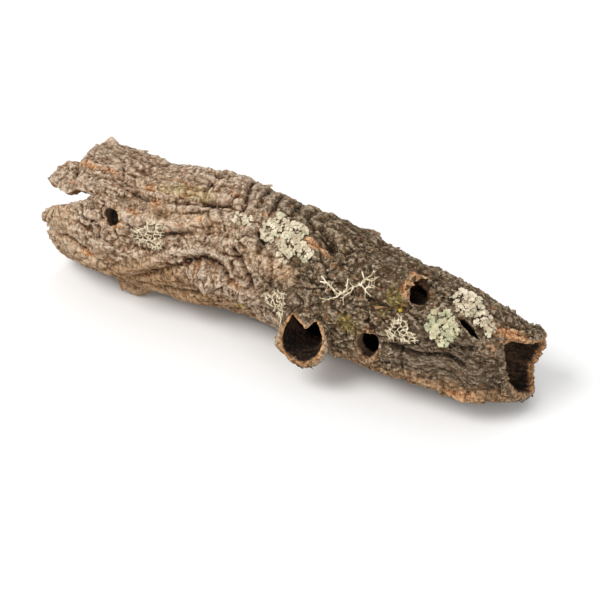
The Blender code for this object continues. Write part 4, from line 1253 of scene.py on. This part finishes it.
# The bore colour also serves as painted shade deep in the knot holes and beside the hood.
for name in ("under_skin", "bore"):
    colour = blend(tree, tone_of(tree, name), colour, ramp(tree, tone, CORK[name]))
colour = blend(tree, mask("yellow"), colour, srgb(196, 172, 48))
lit_side = sums(tree, "SUBTRACT", 1.0, tone_of(tree, "bore"))
lit_side = times(tree, lit_side, crumbly_here)
warm_limit = spread(tree, tone_of(tree, "left"), 0.0, 1.0, 0.07, 0.0)
warm_value = sums(tree, "SUBTRACT", crumb_warm, warm_limit)
warm_crumbs = times(tree, spread(tree, warm_value, 0.85, 0.89, 0.0, 0.5), lit_side)
colour = blend(tree, warm_crumbs, colour, srgb(158, 106, 68))
pale_crumbs = times(tree, spread(tree, crumb_odd, 0.90, 0.93, 0.0, 0.45), lit_side)
colour = blend(tree, pale_crumbs, colour, srgb(206, 188, 162))
dark_crumbs = times(tree, spread(tree, crumb_odd, 0.12, 0.09, 0.0, 0.55), lit_side)
colour = blend(tree, dark_crumbs, colour, srgb(52, 40, 30))
# Painted shade: dark colour in small pits and thin seams between plates; these also lower the
# bump further down.
pits = spread(tree, speckle(tree, across, 1.15, 2.0, 0.5), 0.415, 0.375, 0.0, 0.75)
seams = spread(tree, cells(tree, uneven, 3.4), 0.02, 0.085, 0.7, 0.0)
seams = times(tree, seams, spread(tree, middling, 0.42, 0.56))
gaps = sums(tree, "MAXIMUM", pits, seams)
colour = blend(tree, times(tree, gaps, lit_side), colour, srgb(58, 43, 29))
colour = blend(tree, spread(tree, shade, 0.975, 0.985, 0.0, 0.7), colour, srgb(172, 120, 82))
tree.links.new(colour, shader.inputs["Base Color"])
steps = total(tree, times(tree, crumb_tone, 0.5), times(tree, chip_level, 0.6))
crumbly = total(
    tree, fine, times(tree, flecks, 0.6), times(tree, gaps, -0.9),
    times(tree, steps, crumbly_here), times(tree, streaks, 0.9),
    spread(tree, cells(tree, here, 2.2), 0.0, 0.12, -0.4, 0.0))
bumped(tree, shader, crumbly, 1.0, 0.5)
bark.data.materials.clear()
bark.data.materials.append(cork)
bark.data.polygons.foreach_set("use_smooth", [True] * len(bark.data.polygons))
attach(bark, "root")
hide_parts("bark_tube")

# Bark scales
# Small angular scales and crumbs of cork that still hold to the weathered bark by one side.
# They lie along the grain, stand out by less than a millimetre and have crisp edges.
SCALE_SIZE = 1.55
SCALE_SPACING = 2.2
SCALE_FORMS = ((1.4, 0.5), (1.1, 0.45), (1.7, 0.4), (0.9, 0.65), (1.2, 0.75))
SCALE_CORNERS = 6


def scale_shape(kind):
    """One scale with its middle at the origin, sunk at the bottom and uneven on top."""
    draw = random.Random(70 + kind)
    half_x, half_y = SCALE_FORMS[kind]
    points = [(0.0, 0.0, draw.uniform(0.14, 0.26))]
    low = []
    for j in range(SCALE_CORNERS):
        aim = 2.0 * math.pi * (j + draw.uniform(-0.3, 0.3)) / SCALE_CORNERS
        reach = draw.uniform(0.5, 1.15)
        x = half_x * reach * math.cos(aim)
        y = half_y * reach * math.sin(aim)
        points.append((x, y, draw.uniform(0.04, 0.3)))
        low.append((x * 1.1, y * 1.1, -0.45))
    points += low
    faces = []
    for j in range(SCALE_CORNERS):
        k = (j + 1) % SCALE_CORNERS
        faces.append((0, 1 + j, 1 + k))
        faces.append((1 + j, 1 + SCALE_CORNERS + j, 1 + SCALE_CORNERS + k, 1 + k))
    faces.append(tuple(range(2 * SCALE_CORNERS, SCALE_CORNERS, -1)))
    return unit_object(f"scale_{kind}", points, faces)


def gathered(name, shapes):
    """A collection of shapes to strew, out of the scene itself."""
    group = bpy.data.collections.new(name)
    for shape in shapes:
        bpy.context.scene.collection.objects.unlink(shape)
        group.objects.link(shape)
    return group


def scattered(group):
    """Removes a collection and its shapes."""
    for shape in list(group.objects):
        bpy.data.objects.remove(shape, do_unlink=True)
    bpy.data.collections.remove(group)


def tree_with(name, inputs):
    """A geometry tree with named inputs and their kinds; geometry in and out."""
    tree = bpy.data.node_groups.new(name, "GeometryNodeTree")
    tree.interface.new_socket("Geometry", in_out="INPUT", socket_type="NodeSocketGeometry")
    keys = {}
    for label, kind in inputs.items():
        socket = tree.interface.new_socket(label, in_out="INPUT", socket_type=kind)
        keys[label] = socket.identifier
    tree.interface.new_socket("Geometry", in_out="OUTPUT", socket_type="NodeSocketGeometry")
    source = tree.nodes.new("NodeGroupInput")
    target = tree.nodes.new("NodeGroupOutput")
    return tree, source, target, keys


def random_value(tree, kind, low, high, seed):
    """A random number or vector for each point."""
    node = tree.nodes.new("FunctionNodeRandomValue")
    node.data_type = kind
    first = {"FLOAT_VECTOR": 0, "FLOAT": 2, "INT": 4}[kind]
    node.inputs[first].default_value = low
    node.inputs[first + 1].default_value = high
    tree.links.new(sums(tree, "ADD", seed, float(first + 1)), node.inputs["Seed"])
    return node.outputs[first // 2]


def named_value(tree, label, kind="FLOAT"):
    """One of the mesh's own attributes."""
    node = tree.nodes.new("GeometryNodeInputNamedAttribute")
    node.data_type = kind
    node.inputs["Name"].default_value = label
    return node.outputs["Attribute"]


def named_store(tree, geometry, label, value, kind="FLOAT", domain="POINT"):
    """Geometry that carries a value under a name."""
    node = tree.nodes.new("GeometryNodeStoreNamedAttribute")
    node.data_type = kind
    node.domain = domain
    node.inputs["Name"].default_value = label
    tree.links.new(geometry, node.inputs["Geometry"])
    tree.links.new(value, node.inputs["Value"])
    return node.outputs[0]


def turned_by(tree, rotation, turns):
    """Rotations turned further by random turns about their own axes."""
    node = tree.nodes.new("FunctionNodeRotateRotation")
    node.rotation_space = "LOCAL"
    tree.links.new(rotation, node.inputs["Rotation"])
    angles = tree.nodes.new("FunctionNodeEulerToRotation")
    tree.links.new(turns, angles.inputs[0])
    tree.links.new(angles.outputs[0], node.inputs["Rotate By"])
    return node.outputs[0]


def plain_and_finished(tree, geometry, source, target):
    """Ends a tree: real mesh in place of instances, with its finish on."""
    real = tree.nodes.new("GeometryNodeRealizeInstances")
    tree.links.new(geometry, real.inputs[0])
    finished = tree.nodes.new("GeometryNodeSetMaterial")
    tree.links.new(real.outputs[0], finished.inputs["Geometry"])
    tree.links.new(source.outputs["Finish"], finished.inputs["Material"])
    tree.links.new(finished.outputs[0], target.inputs["Geometry"])


def grown(tree, item, keys, values, name):
    """The object's geometry after a tree, as a plain mesh object of its own."""
    growth = item.modifiers.new("growth", "NODES")
    growth.node_group = tree
    for label, value in values.items():
        growth[keys[label]] = value
    mesh = baked(item, name)
    bpy.data.objects.remove(item, do_unlink=True)
    made = bpy.data.objects.new(name, mesh)
    bpy.context.scene.collection.objects.link(made)
    return made


def keep_in_box(item):
    """Presses the few highest points of a piece down to the frame's own box."""
    points = np.clip(read_points(item.data), low, high)
    item.data.vertices.foreach_set("co", points.ravel())
    item.data.update()


def strewing_tree(name, way, stray_low, stray_high, sizes, kinds_count):
    """A tree that strews shapes over a mesh, each laid flat and turned towards a way."""
    tree, source, target, keys = tree_with(name, {
        "Size": "NodeSocketFloat", "Spacing": "NodeSocketFloat", "Seed": "NodeSocketInt",
        "Shapes": "NodeSocketCollection", "Finish": "NodeSocketMaterial"})
    nodes = tree.nodes
    links = tree.links
    seed = source.outputs["Seed"]
    strewn = nodes.new("GeometryNodeDistributePointsOnFaces")
    strewn.distribute_method = "POISSON"
    strewn.inputs["Density Max"].default_value = 3.0e6
    links.new(source.outputs["Geometry"], strewn.inputs["Mesh"])
    links.new(source.outputs["Spacing"], strewn.inputs["Distance Min"])
    links.new(seed, strewn.inputs["Seed"])
    links.new(named_value(tree, "scaly"), strewn.inputs["Density Factor"])
    facing = nodes.new("FunctionNodeAlignRotationToVector")
    facing.axis = "X"
    facing.pivot_axis = "Z"
    links.new(strewn.outputs["Rotation"], facing.inputs["Rotation"])
    feed(tree, facing.inputs["Vector"],
         named_value(tree, way, "FLOAT_VECTOR") if isinstance(way, str) else way)
    strayed = turned_by(tree, facing.outputs["Rotation"],
                        random_value(tree, "FLOAT_VECTOR", stray_low, stray_high, seed))
    kinds = nodes.new("GeometryNodeCollectionInfo")
    kinds.inputs["Separate Children"].default_value = True
    kinds.inputs["Reset Children"].default_value = True
    links.new(source.outputs["Shapes"], kinds.inputs["Collection"])
    size = times(tree, random_value(tree, "FLOAT", *sizes, seed), source.outputs["Size"])
    local_size = times(tree, size, named_value(tree, "growth"))
    placed = nodes.new("GeometryNodeInstanceOnPoints")
    placed.inputs["Pick Instance"].default_value = True
    links.new(strewn.outputs["Points"], placed.inputs["Points"])
    links.new(kinds.outputs[0], placed.inputs["Instance"])
    links.new(random_value(tree, "INT", 0, kinds_count - 1, seed),
              placed.inputs["Instance Index"])
    links.new(strayed, placed.inputs["Rotation"])
    links.new(local_size, placed.inputs["Scale"])
    shaded = named_store(tree, placed.outputs[0], "shade",
                         random_value(tree, "FLOAT", 0.0, 1.0, seed), domain="INSTANCE")
    seated = named_store(tree, shaded, "seat", nodes.new("GeometryNodeInputPosition").outputs[0],
                         "FLOAT_VECTOR", "INSTANCE")
    plain_and_finished(tree, seated, source, target)
    return tree, keys


scale_tree, scale_keys = strewing_tree("bark_scales", (1.0, 0.0, 0.0), (-0.22, -0.22, -0.7),
                                       (0.22, 0.22, 0.7), (0.5, 1.25), len(SCALE_FORMS))
shapes = gathered("scale_shapes", [scale_shape(k) for k in range(len(SCALE_FORMS))])
ground = bark.copy()
ground.data = bark.data.copy()
bpy.context.scene.collection.objects.link(ground)
store(ground.data, "growth", np.ones(len(ground.data.vertices)))
scales = grown(scale_tree, ground, scale_keys, {
    "Size": SCALE_SIZE * MM, "Spacing": SCALE_SPACING * MM, "Seed": 8, "Shapes": shapes,
    "Finish": cork}, "bark_scales")
scattered(shapes)
seats = np.empty(len(scales.data.vertices) * 3)
scales.data.attributes["seat"].data.foreach_get("vector", seats)
seats = seats.reshape(-1, 3) / MM
seat_y, seat_z, _ = spine(seats[:, 0])
seat_angle = np.degrees(np.arctan2(seats[:, 2] - seat_z, -(seats[:, 1] - seat_y)))
store_tones(scales.data, seats[:, 0], seat_angle)
keep_in_box(scales)
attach(scales, "root")

# Leafy lichens
# Flat, grey-green rosettes that grow on the bark. Each is many small lobes, rounded and
# notched at the tip, that overlap and turn up a little at the edge.
LEAFY = {
    "leafy_lichen_middle": ((-1.0, 62, 5.6, 6.0), (4.5, 72, 6.4, 4.6), (15, 71, 7.6, 5.4),
                            (14.5, 58, 6.6, 5.6), (24.5, 57, 5.2, 4.4), (14, 46.5, 4.4, 3.8),
                            (6.5, 58, 4.4, 3.6)),
    "leafy_lichen_lower": ((103.5, 52, 4.6, 4.8), (108, 55, 4.8, 4.2), (107, 46, 5.0, 4.8),
                           (102.5, 42, 4.2, 3.8), (108.5, 38, 5.2, 4.8), (112.5, 44.5, 3.8, 4.0)),
    "leafy_lichen_upper": ((110.5, 82, 5.2, 5.6), (115.5, 86, 5.4, 4.8), (114.5, 75, 5.2, 5.4),
                           (120, 79, 5.2, 4.8), (124, 73, 4.6, 4.6), (127.5, 67, 3.8, 4.0),
                           (130, 62, 3.2, 3.2)),
    "crust_lichen": ((-20, 60, 4.2, 3.6), (-15.5, 62, 3.4, 3.4)),
}
CREAM = (0.7, 0.1, 0.8, 0.7)
LOBE = 2.9
LOBE_SPACING = 0.95
LOBE_KINDS = 3
LOBE_EDGE = 14
LEAF_SEAT = 0.45
# A radius that is clear of the bark everywhere
FAR_OUT = 80.0


def surface_tree(item):
    work = bmesh.new()
    work.from_mesh(item.data)
    tree = BVHTree.FromBMesh(work)
    work.free()
    return tree


bark_tree = surface_tree(bark)


def surface_radius(x, angle):
    """Radius of the finished bark at x and angle, in mm."""
    far = tube_vector(x, angle, FAR_OUT) * MM
    hit, _, _, distance = bark_tree.ray_cast(far, -outward(angle))
    return float(spine(x)[2]) if hit is None else FAR_OUT - distance / MM


def seat_radius(x, angle, reach):
    """Highest radius of the bark within a small reach."""
    turn_step = math.degrees(reach / float(spine(x)[2]))
    spots = ((0, 0), (reach, 0), (-reach, 0), (0, turn_step), (0, -turn_step))
    return max(surface_radius(x + dx, angle + da) for dx, da in spots)


def lobe_shape(kind):
    """One lobe, 1 unit long from its root at the origin, cupped and turned up at its tip."""
    draw = random.Random(40 + kind)
    tips = draw.uniform(0.0, 6.28)
    top = [(0.5, 0.0, 0.10)]
    low = []
    for ring in (0.55, 1.0):
        for j in range(LOBE_EDGE):
            aim = 2.0 * math.pi * j / LOBE_EDGE
            reach = 0.45 + 0.09 * math.cos(3.0 * aim + tips) + 0.08 * math.cos(5.0 * aim)
            reach *= 1.0 - 0.22 * math.exp(-((aim - math.pi) / 0.5) ** 2)
            x = 0.5 + ring * reach * math.cos(aim) * 1.1
            y = ring * reach * math.sin(aim)
            ripple = 0.06 * math.cos(4.0 * aim + 2.0 * tips)
            z = 0.10 + (0.13 * ring**3 + ripple * ring) * (0.3 + 0.7 * max(x, 0.0))
            top.append((x, y, z))
            if ring == 1.0:
                low.append((x * 0.97 + 0.015, y * 0.96, z - 0.09))
    points = top + low
    inner = 1
    outer = 1 + LOBE_EDGE
    under = 1 + 2 * LOBE_EDGE
    faces = []
    for j in range(LOBE_EDGE):
        k = (j + 1) % LOBE_EDGE
        faces.append((0, inner + j, inner + k))
        faces.append((inner + j, outer + j, outer + k, inner + k))
        faces.append((outer + j, under + j, under + k, outer + k))
    faces.append(tuple(range(under + LOBE_EDGE - 1, under - 1, -1)))
    item = unit_object(f"lobe_{kind}", points, faces)
    edge = [0.0] + [0.35] * LOBE_EDGE + [1.0] * LOBE_EDGE + [1.0] * LOBE_EDGE
    store(item.data, "edge", edge)
    item.data.polygons.foreach_set("use_smooth", [True] * len(faces))
    return item


def lichen_patch(name, ovals):
    """The ground that the lobes root in, with the way out from each oval's middle."""
    points = []
    faces = []
    ways = []
    growth = []
    for x0, a0, half_x, half_v in ovals:
        radius = float(spine(x0)[2])
        start = len(points)
        for ring in range(5):
            share = ring / 4
            for j in range(16 if ring else 1):
                aim = 2.0 * math.pi * j / 16
                uneven = 1.0 + 0.16 * noise.noise(Vector((aim * 2.0, x0, a0)))
                s = share * uneven * max(half_x - 0.62 * LOBE, 0.8) * math.cos(aim)
                t = share * uneven * max(half_v - 0.62 * LOBE, 0.8) * math.sin(aim)
                x = x0 + s
                angle = a0 + math.degrees(t / radius)
                lift = LEAF_SEAT + 0.55 * (1.0 - share)
                points.append(tube_point(np.array(x), angle, seat_radius(x, angle, 0.9) + lift))
                up = outward(angle)
                around = up.cross(Vector((1.0, 0.0, 0.0)))
                way = Vector((math.cos(aim), 0.0, 0.0)) + around * math.sin(aim)
                ways.append(way)
                growth.append(0.55 + 0.55 * share**2)
        for j in range(16):
            k = (j + 1) % 16
            faces.append((start, start + 1 + j, start + 1 + k))
            for ring in range(3):
                low = start + 1 + ring * 16
                faces.append((low + j, low + 16 + j, low + 16 + k, low + k))
    item = new_object(name + "_ground", points, faces)
    if item.data.polygons[0].normal.dot(outward(ovals[0][1])) < 0.0:
        item.data.flip_normals()
    store(item.data, "scaly", [1.0] * len(points))
    store(item.data, "growth", growth)
    vectors = item.data.attributes.new("way_out", "FLOAT_VECTOR", "POINT")
    vectors.data.foreach_set("vector", [c for way in ways for c in way])
    return item


leaf_tree, leaf_keys = strewing_tree("lichen_lobes", "way_out", (-0.25, -0.36, -0.8),
                                     (0.25, 0.04, 0.8), (0.65, 1.25), LOBE_KINDS)
leaf_skin, tree, shader = new_material("leafy_lichen_skin", 0.85, 0.2)
here = object_place(tree)
fine = speckle(tree, here, 0.7, 3.0, 0.7)
broad = speckle(tree, here, 5.0, 2.0, 0.5)
tone = total(
    tree, 0.44, times(tree, tone_of(tree, "edge"), 0.22),
    spread(tree, tone_of(tree, "shade"), 0.0, 1.0, -0.16, 0.16),
    spread(tree, fine, 0.3, 0.7, -0.14, 0.14),
    spread(tree, broad, 0.35, 0.65, -0.12, 0.12), clamp=True)
CREAM_STOPS = ((0.0, (112, 90, 68)), (0.3, (172, 152, 126)), (0.6, (212, 195, 170)),
               (1.0, (242, 231, 212)))
LEAF_STOPS = ((0.0, (98, 88, 62)), (0.3, (150, 142, 108)), (0.6, (188, 181, 146)),
              (1.0, (224, 217, 186)))
SAGE_STOPS = ((0.0, (84, 90, 64)), (0.4, (134, 142, 110)), (1.0, (180, 184, 150)))
sage = spread(tree, speckle(tree, here, 9.0, 1.0, 0.5), 0.52, 0.62)
colour = blend(tree, tone_of(tree, "cream"), ramp(tree, tone, LEAF_STOPS),
               ramp(tree, tone, CREAM_STOPS))
sage = times(tree, sage, spread(tree, tone_of(tree, "cream"), 0.3, 1.0, 0.7, 0.1))
colour = blend(tree, sage, colour, ramp(tree, tone, SAGE_STOPS))
dots = spread(tree, cells(tree, here, 1.5, "F1"), 0.20, 0.12)
dots = times(tree, dots, spread(tree, broad, 0.48, 0.56))
colour = blend(tree, dots, colour, srgb(44, 40, 34))
tree.links.new(colour, shader.inputs["Base Color"])
bumped(tree, shader, fine, 0.5, 0.15)

lobes = gathered("lobes", [lobe_shape(kind) for kind in range(LOBE_KINDS)])
for number, (name, ovals) in enumerate(LEAFY.items()):
    made = grown(leaf_tree, lichen_patch(name, ovals), leaf_keys, {
        "Size": LOBE * MM, "Spacing": LOBE_SPACING * MM, "Seed": 3 + number,
        "Shapes": lobes, "Finish": leaf_skin}, name + "_lobes")
    store(made.data, "cream", np.full(len(made.data.vertices), CREAM[number]))
    keep_in_box(made)
    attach(made, "root")
    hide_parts(name)
scattered(lobes)

# Shrubby lichens
# Thin, pale, forked strands that spring from a few roots and tangle over the bark.
# The sprig has long open stems; the other three are low lacy tufts.
# Tufts: x, angle, reach along, reach round, joints, seed
TUFTS = {
    "twig_lichen_left": (-65.5, 28, 9.6, 7.8, 44, 4),
    "twig_lichen_stub": (15, 6, 8.4, 7.4, 42, 11),
    "twig_lichen_right": (87, 26, 8.4, 6.4, 36, 15),
}
# Stems of the sprig as lines of (x, angle, height over the bark)
SPRIG = (
    ((39, 45, 2.2), (45.2, 40, 2.0), (48.7, 37, 1.2), (51.3, 39, 0.9), (56.6, 48, 1.4),
     (60.5, 52, 2.0), (62.6, 57, 2.6), (65.5, 64, 3.0)),
    ((60.5, 52, 2.0), (63.9, 49, 2.4), (67.2, 46.5, 2.6)),
    ((51.3, 39, 0.9), (48.8, 34, 1.4), (44.6, 29, 2.0), (41.0, 27.5, 2.3)),
    ((38.6, 40.5, 2.4), (43.6, 42, 2.2), (46.8, 39, 1.6), (48.7, 37, 1.2)),
    ((52.8, 52, 2.8), (53.6, 45, 1.8), (51.3, 39, 0.9)),
    ((59.2, 61, 3.0), (61.7, 57, 2.5), (60.5, 52, 2.0)),
    ((56.6, 48, 1.4), (55.1, 42, 1.6), (52.6, 35.5, 2.2)),
    ((62.6, 57, 2.6), (66.0, 58, 3.0), (69.0, 61.5, 3.2)),
    ((63.9, 49, 2.4), (65.2, 52, 2.8), (68.2, 53, 3.2)),
)
STRAND = 0.42
STRAND_TIP = 0.6
STRAND_SIDES = 5


def strand_object(name, lines):
    """A curve object with one spline for each line of points in metres."""
    curve = bpy.data.curves.new(name, "CURVE")
    curve.dimensions = "3D"
    for line, thickness in lines:
        spline = curve.splines.new("POLY")
        spline.points.add(len(line) - 1)
        for i, (point, place) in enumerate(zip(spline.points, line)):
            point.co = (*place, 1.0)
            share = i / (len(line) - 1)
            point.radius = thickness * (1.0 + (STRAND_TIP - 1.0) * share)
    item = bpy.data.objects.new(name, curve)
    bpy.context.scene.collection.objects.link(item)
    return item


def over_bark(x, angle, height):
    """A place in metres at a height over the bark."""
    return tube_vector(x, angle, seat_radius(x, angle, 0.5) + height) * MM


def tuft_lines(x0, a0, reach_x, reach_v, joints, seed):
    """A lace of bent strands between joints spread over an oval, with forked free tips."""
    draw = random.Random(seed)
    radius = float(spine(x0)[2])
    spots = [(0.0, 0.0)]
    while len(spots) < joints:
        tries = []
        for _ in range(7):
            aim = draw.uniform(-math.pi, math.pi)
            reach = math.sqrt(draw.random()) * (0.8 + 0.2 * math.sin(3.0 * aim + seed))
            tries.append((reach * math.cos(aim), reach * math.sin(aim)))
        spots.append(max(tries, key=lambda spot: min(math.dist(spot, s) for s in spots)))
    heights = [0.5 + draw.uniform(0.5, 2.0) * (1.0 - 0.8 * (s * s + t * t)) for s, t in spots]
    lines = []

    def strand(s0, t0, h0, s1, t1, h1, thickness):
        bend = draw.uniform(-0.16, 0.16)
        line = []
        for step in range(5):
            share = step / 4
            bow = bend * math.sin(math.pi * share)
            s = s0 + (s1 - s0) * share - (t1 - t0) * bow
            t = t0 + (t1 - t0) * share + (s1 - s0) * bow
            angle = a0 + math.degrees(t * reach_v / radius)
            line.append(over_bark(x0 + s * reach_x, angle, 0.3 + h0 + (h1 - h0) * share))
        lines.append((line, thickness))

    for i, spot in enumerate(spots):
        for j in range(i):
            span = math.dist(spot, spots[j])
            apart = [max(math.dist(spot, s), math.dist(spots[j], s)) for s in spots
                     if s not in (spot, spots[j])]
            if min(apart) > 0.9 * span and draw.random() < 0.88:
                strand(*spot, heights[i], *spots[j], heights[j], draw.uniform(0.5, 0.85))
    for (s, t), height in zip(spots, heights):
        if math.hypot(s, t) > 0.45:
            for _ in range(2):
                aim = math.atan2(t, s) + draw.uniform(-1.1, 1.1)
                reach = draw.uniform(0.16, 0.34)
                strand(s, t, height, s + reach * math.cos(aim), t + reach * math.sin(aim),
                       max(0.4, height + draw.uniform(-0.4, 0.8)), 0.6)
    return lines


def sprig_lines():
    """The sprig's stems with short side twigs."""
    draw = random.Random(5)
    lines = []
    for stem in SPRIG:
        line = []
        for (x0, a0, h0), (x1, a1, h1) in zip(stem, stem[1:]):
            for i in range(4):
                share = i / 4
                sway = 0.25 * math.sin(3.0 * (x0 + share))
                line.append(over_bark(x0 + (x1 - x0) * share + sway, a0 + (a1 - a0) * share,
                                      h0 + (h1 - h0) * share))
            if draw.random() < 0.75:
                aim = draw.uniform(-3.1, 3.1)
                reach = draw.uniform(1.4, 2.8)
                twig = [over_bark(x1 + reach * f * math.cos(aim), a1 + reach * f * 2.0
                                  * math.sin(aim), h1 + 0.8 * f) for f in (0.0, 0.35, 0.7, 1.0)]
                lines.append((twig, 0.62))
        line.append(over_bark(*stem[-1]))
        lines.append((line, 1.15))
    return lines


strand_tree, source, target, strand_keys = tree_with("lichen_strands", {
    "Thickness": "NodeSocketFloat", "Twiglet spacing": "NodeSocketFloat",
    "Twiglet size": "NodeSocketFloat", "Seed": "NodeSocketInt",
    "Twiglet": "NodeSocketObject", "Finish": "NodeSocketMaterial"})
nodes = strand_tree.nodes
links = strand_tree.links
ring = nodes.new("GeometryNodeCurvePrimitiveCircle")
ring.inputs["Resolution"].default_value = STRAND_SIDES
links.new(source.outputs["Thickness"], ring.inputs["Radius"])
factor = nodes.new("GeometryNodeSplineParameter")
marked = named_store(strand_tree, source.outputs["Geometry"], "along", factor.outputs["Factor"])
tubes = nodes.new("GeometryNodeCurveToMesh")
tubes.inputs["Fill Caps"].default_value = True
links.new(marked, tubes.inputs["Curve"])
links.new(ring.outputs[0], tubes.inputs["Profile Curve"])
if "Scale" in tubes.inputs:
    thin = nodes.new("GeometryNodeInputRadius")
    links.new(thin.outputs[0], tubes.inputs["Scale"])
spots = nodes.new("GeometryNodeCurveToPoints")
spots.mode = "LENGTH"
links.new(marked, spots.inputs["Curve"])
links.new(source.outputs["Twiglet spacing"], spots.inputs["Length"])
turned = turned_by(strand_tree, spots.outputs["Rotation"], random_value(
    strand_tree, "FLOAT_VECTOR", (-0.9, -0.9, -3.1), (0.9, 0.9, 3.1), source.outputs["Seed"]))
info = nodes.new("GeometryNodeObjectInfo")
info.inputs["As Instance"].default_value = True
links.new(source.outputs["Twiglet"], info.inputs["Object"])
size = times(strand_tree, random_value(strand_tree, "FLOAT", 0.5, 1.2, source.outputs["Seed"]),
             source.outputs["Twiglet size"])
placed = nodes.new("GeometryNodeInstanceOnPoints")
links.new(spots.outputs["Points"], placed.inputs["Points"])
links.new(info.outputs["Geometry"], placed.inputs["Instance"])
links.new(turned, placed.inputs["Rotation"])
links.new(size, placed.inputs["Scale"])
joined = nodes.new("GeometryNodeJoinGeometry")
links.new(placed.outputs[0], joined.inputs[0])
links.new(tubes.outputs[0], joined.inputs[0])
plain_and_finished(strand_tree, joined.outputs[0], source, target)


def twiglet():
    """A forked twiglet, 1 unit tall from its root at the origin, as two tapered stems."""
    points = []
    faces = []
    for (x0, z0), (x1, z1), thick, thin in (((0, -0.1), (0.12, 1.0), 0.15, 0.09),
                                            ((0.04, 0.4), (-0.4, 0.85), 0.11, 0.08)):
        start = len(points)
        for (x, z), half in (((x0, z0), thick), ((x1, z1), thin)):
            for j in range(4):
                aim = math.pi * j / 2.0
                points.append((x + half * math.cos(aim), half * math.sin(aim), z))
        faces += [tuple(start + i for i in face) for face in
                  ((0, 3, 2, 1), (4, 5, 6, 7), (0, 1, 5, 4), (1, 2, 6, 5), (2, 3, 7, 6),
                   (3, 0, 4, 7))]
    item = unit_object("twiglet", points, faces)
    store(item.data, "along", [0.7] * len(points))
    return item


strand_skin, tree, shader = new_material("shrubby_lichen_skin", 0.8, 0.2)
here = object_place(tree)
fine = speckle(tree, here, 0.6, 2.0, 0.6)
patches = speckle(tree, here, 3.5, 2.0, 0.6)
tone = total(
    tree, 0.5, spread(tree, tone_of(tree, "along"), 0.0, 1.0, 0.18, -0.05),
    spread(tree, fine, 0.3, 0.7, -0.15, 0.15),
    spread(tree, patches, 0.35, 0.65, -0.25, 0.25), clamp=True)
STRAND_STOPS = ((0.0, (134, 112, 80)), (0.3, (198, 181, 146)), (0.65, (230, 217, 188)),
                (1.0, (248, 240, 220)))
tree.links.new(ramp(tree, tone, STRAND_STOPS), shader.inputs["Base Color"])

little = twiglet()
strand_sets = {name: tuft_lines(*values) for name, values in TUFTS.items()}
strand_sets["twig_lichen_sprig"] = sprig_lines()
for number, (name, lines) in enumerate(strand_sets.items()):
    dense = name != "twig_lichen_sprig"
    made = grown(strand_tree, strand_object(name + "_lines", lines), strand_keys, {
        "Thickness": STRAND * MM * (0.9 if dense else 0.8), "Seed": 21 + number,
        "Twiglet spacing": 2.6 * MM,
        "Twiglet size": (1.1 if dense else 1.5) * MM,
        "Twiglet": little, "Finish": strand_skin}, name + "_strands")
    made.data.polygons.foreach_set("use_smooth", [True] * len(made.data.polygons))
    keep_in_box(made)
    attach(made, "root")
    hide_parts(name)
bpy.data.objects.remove(little, do_unlink=True)
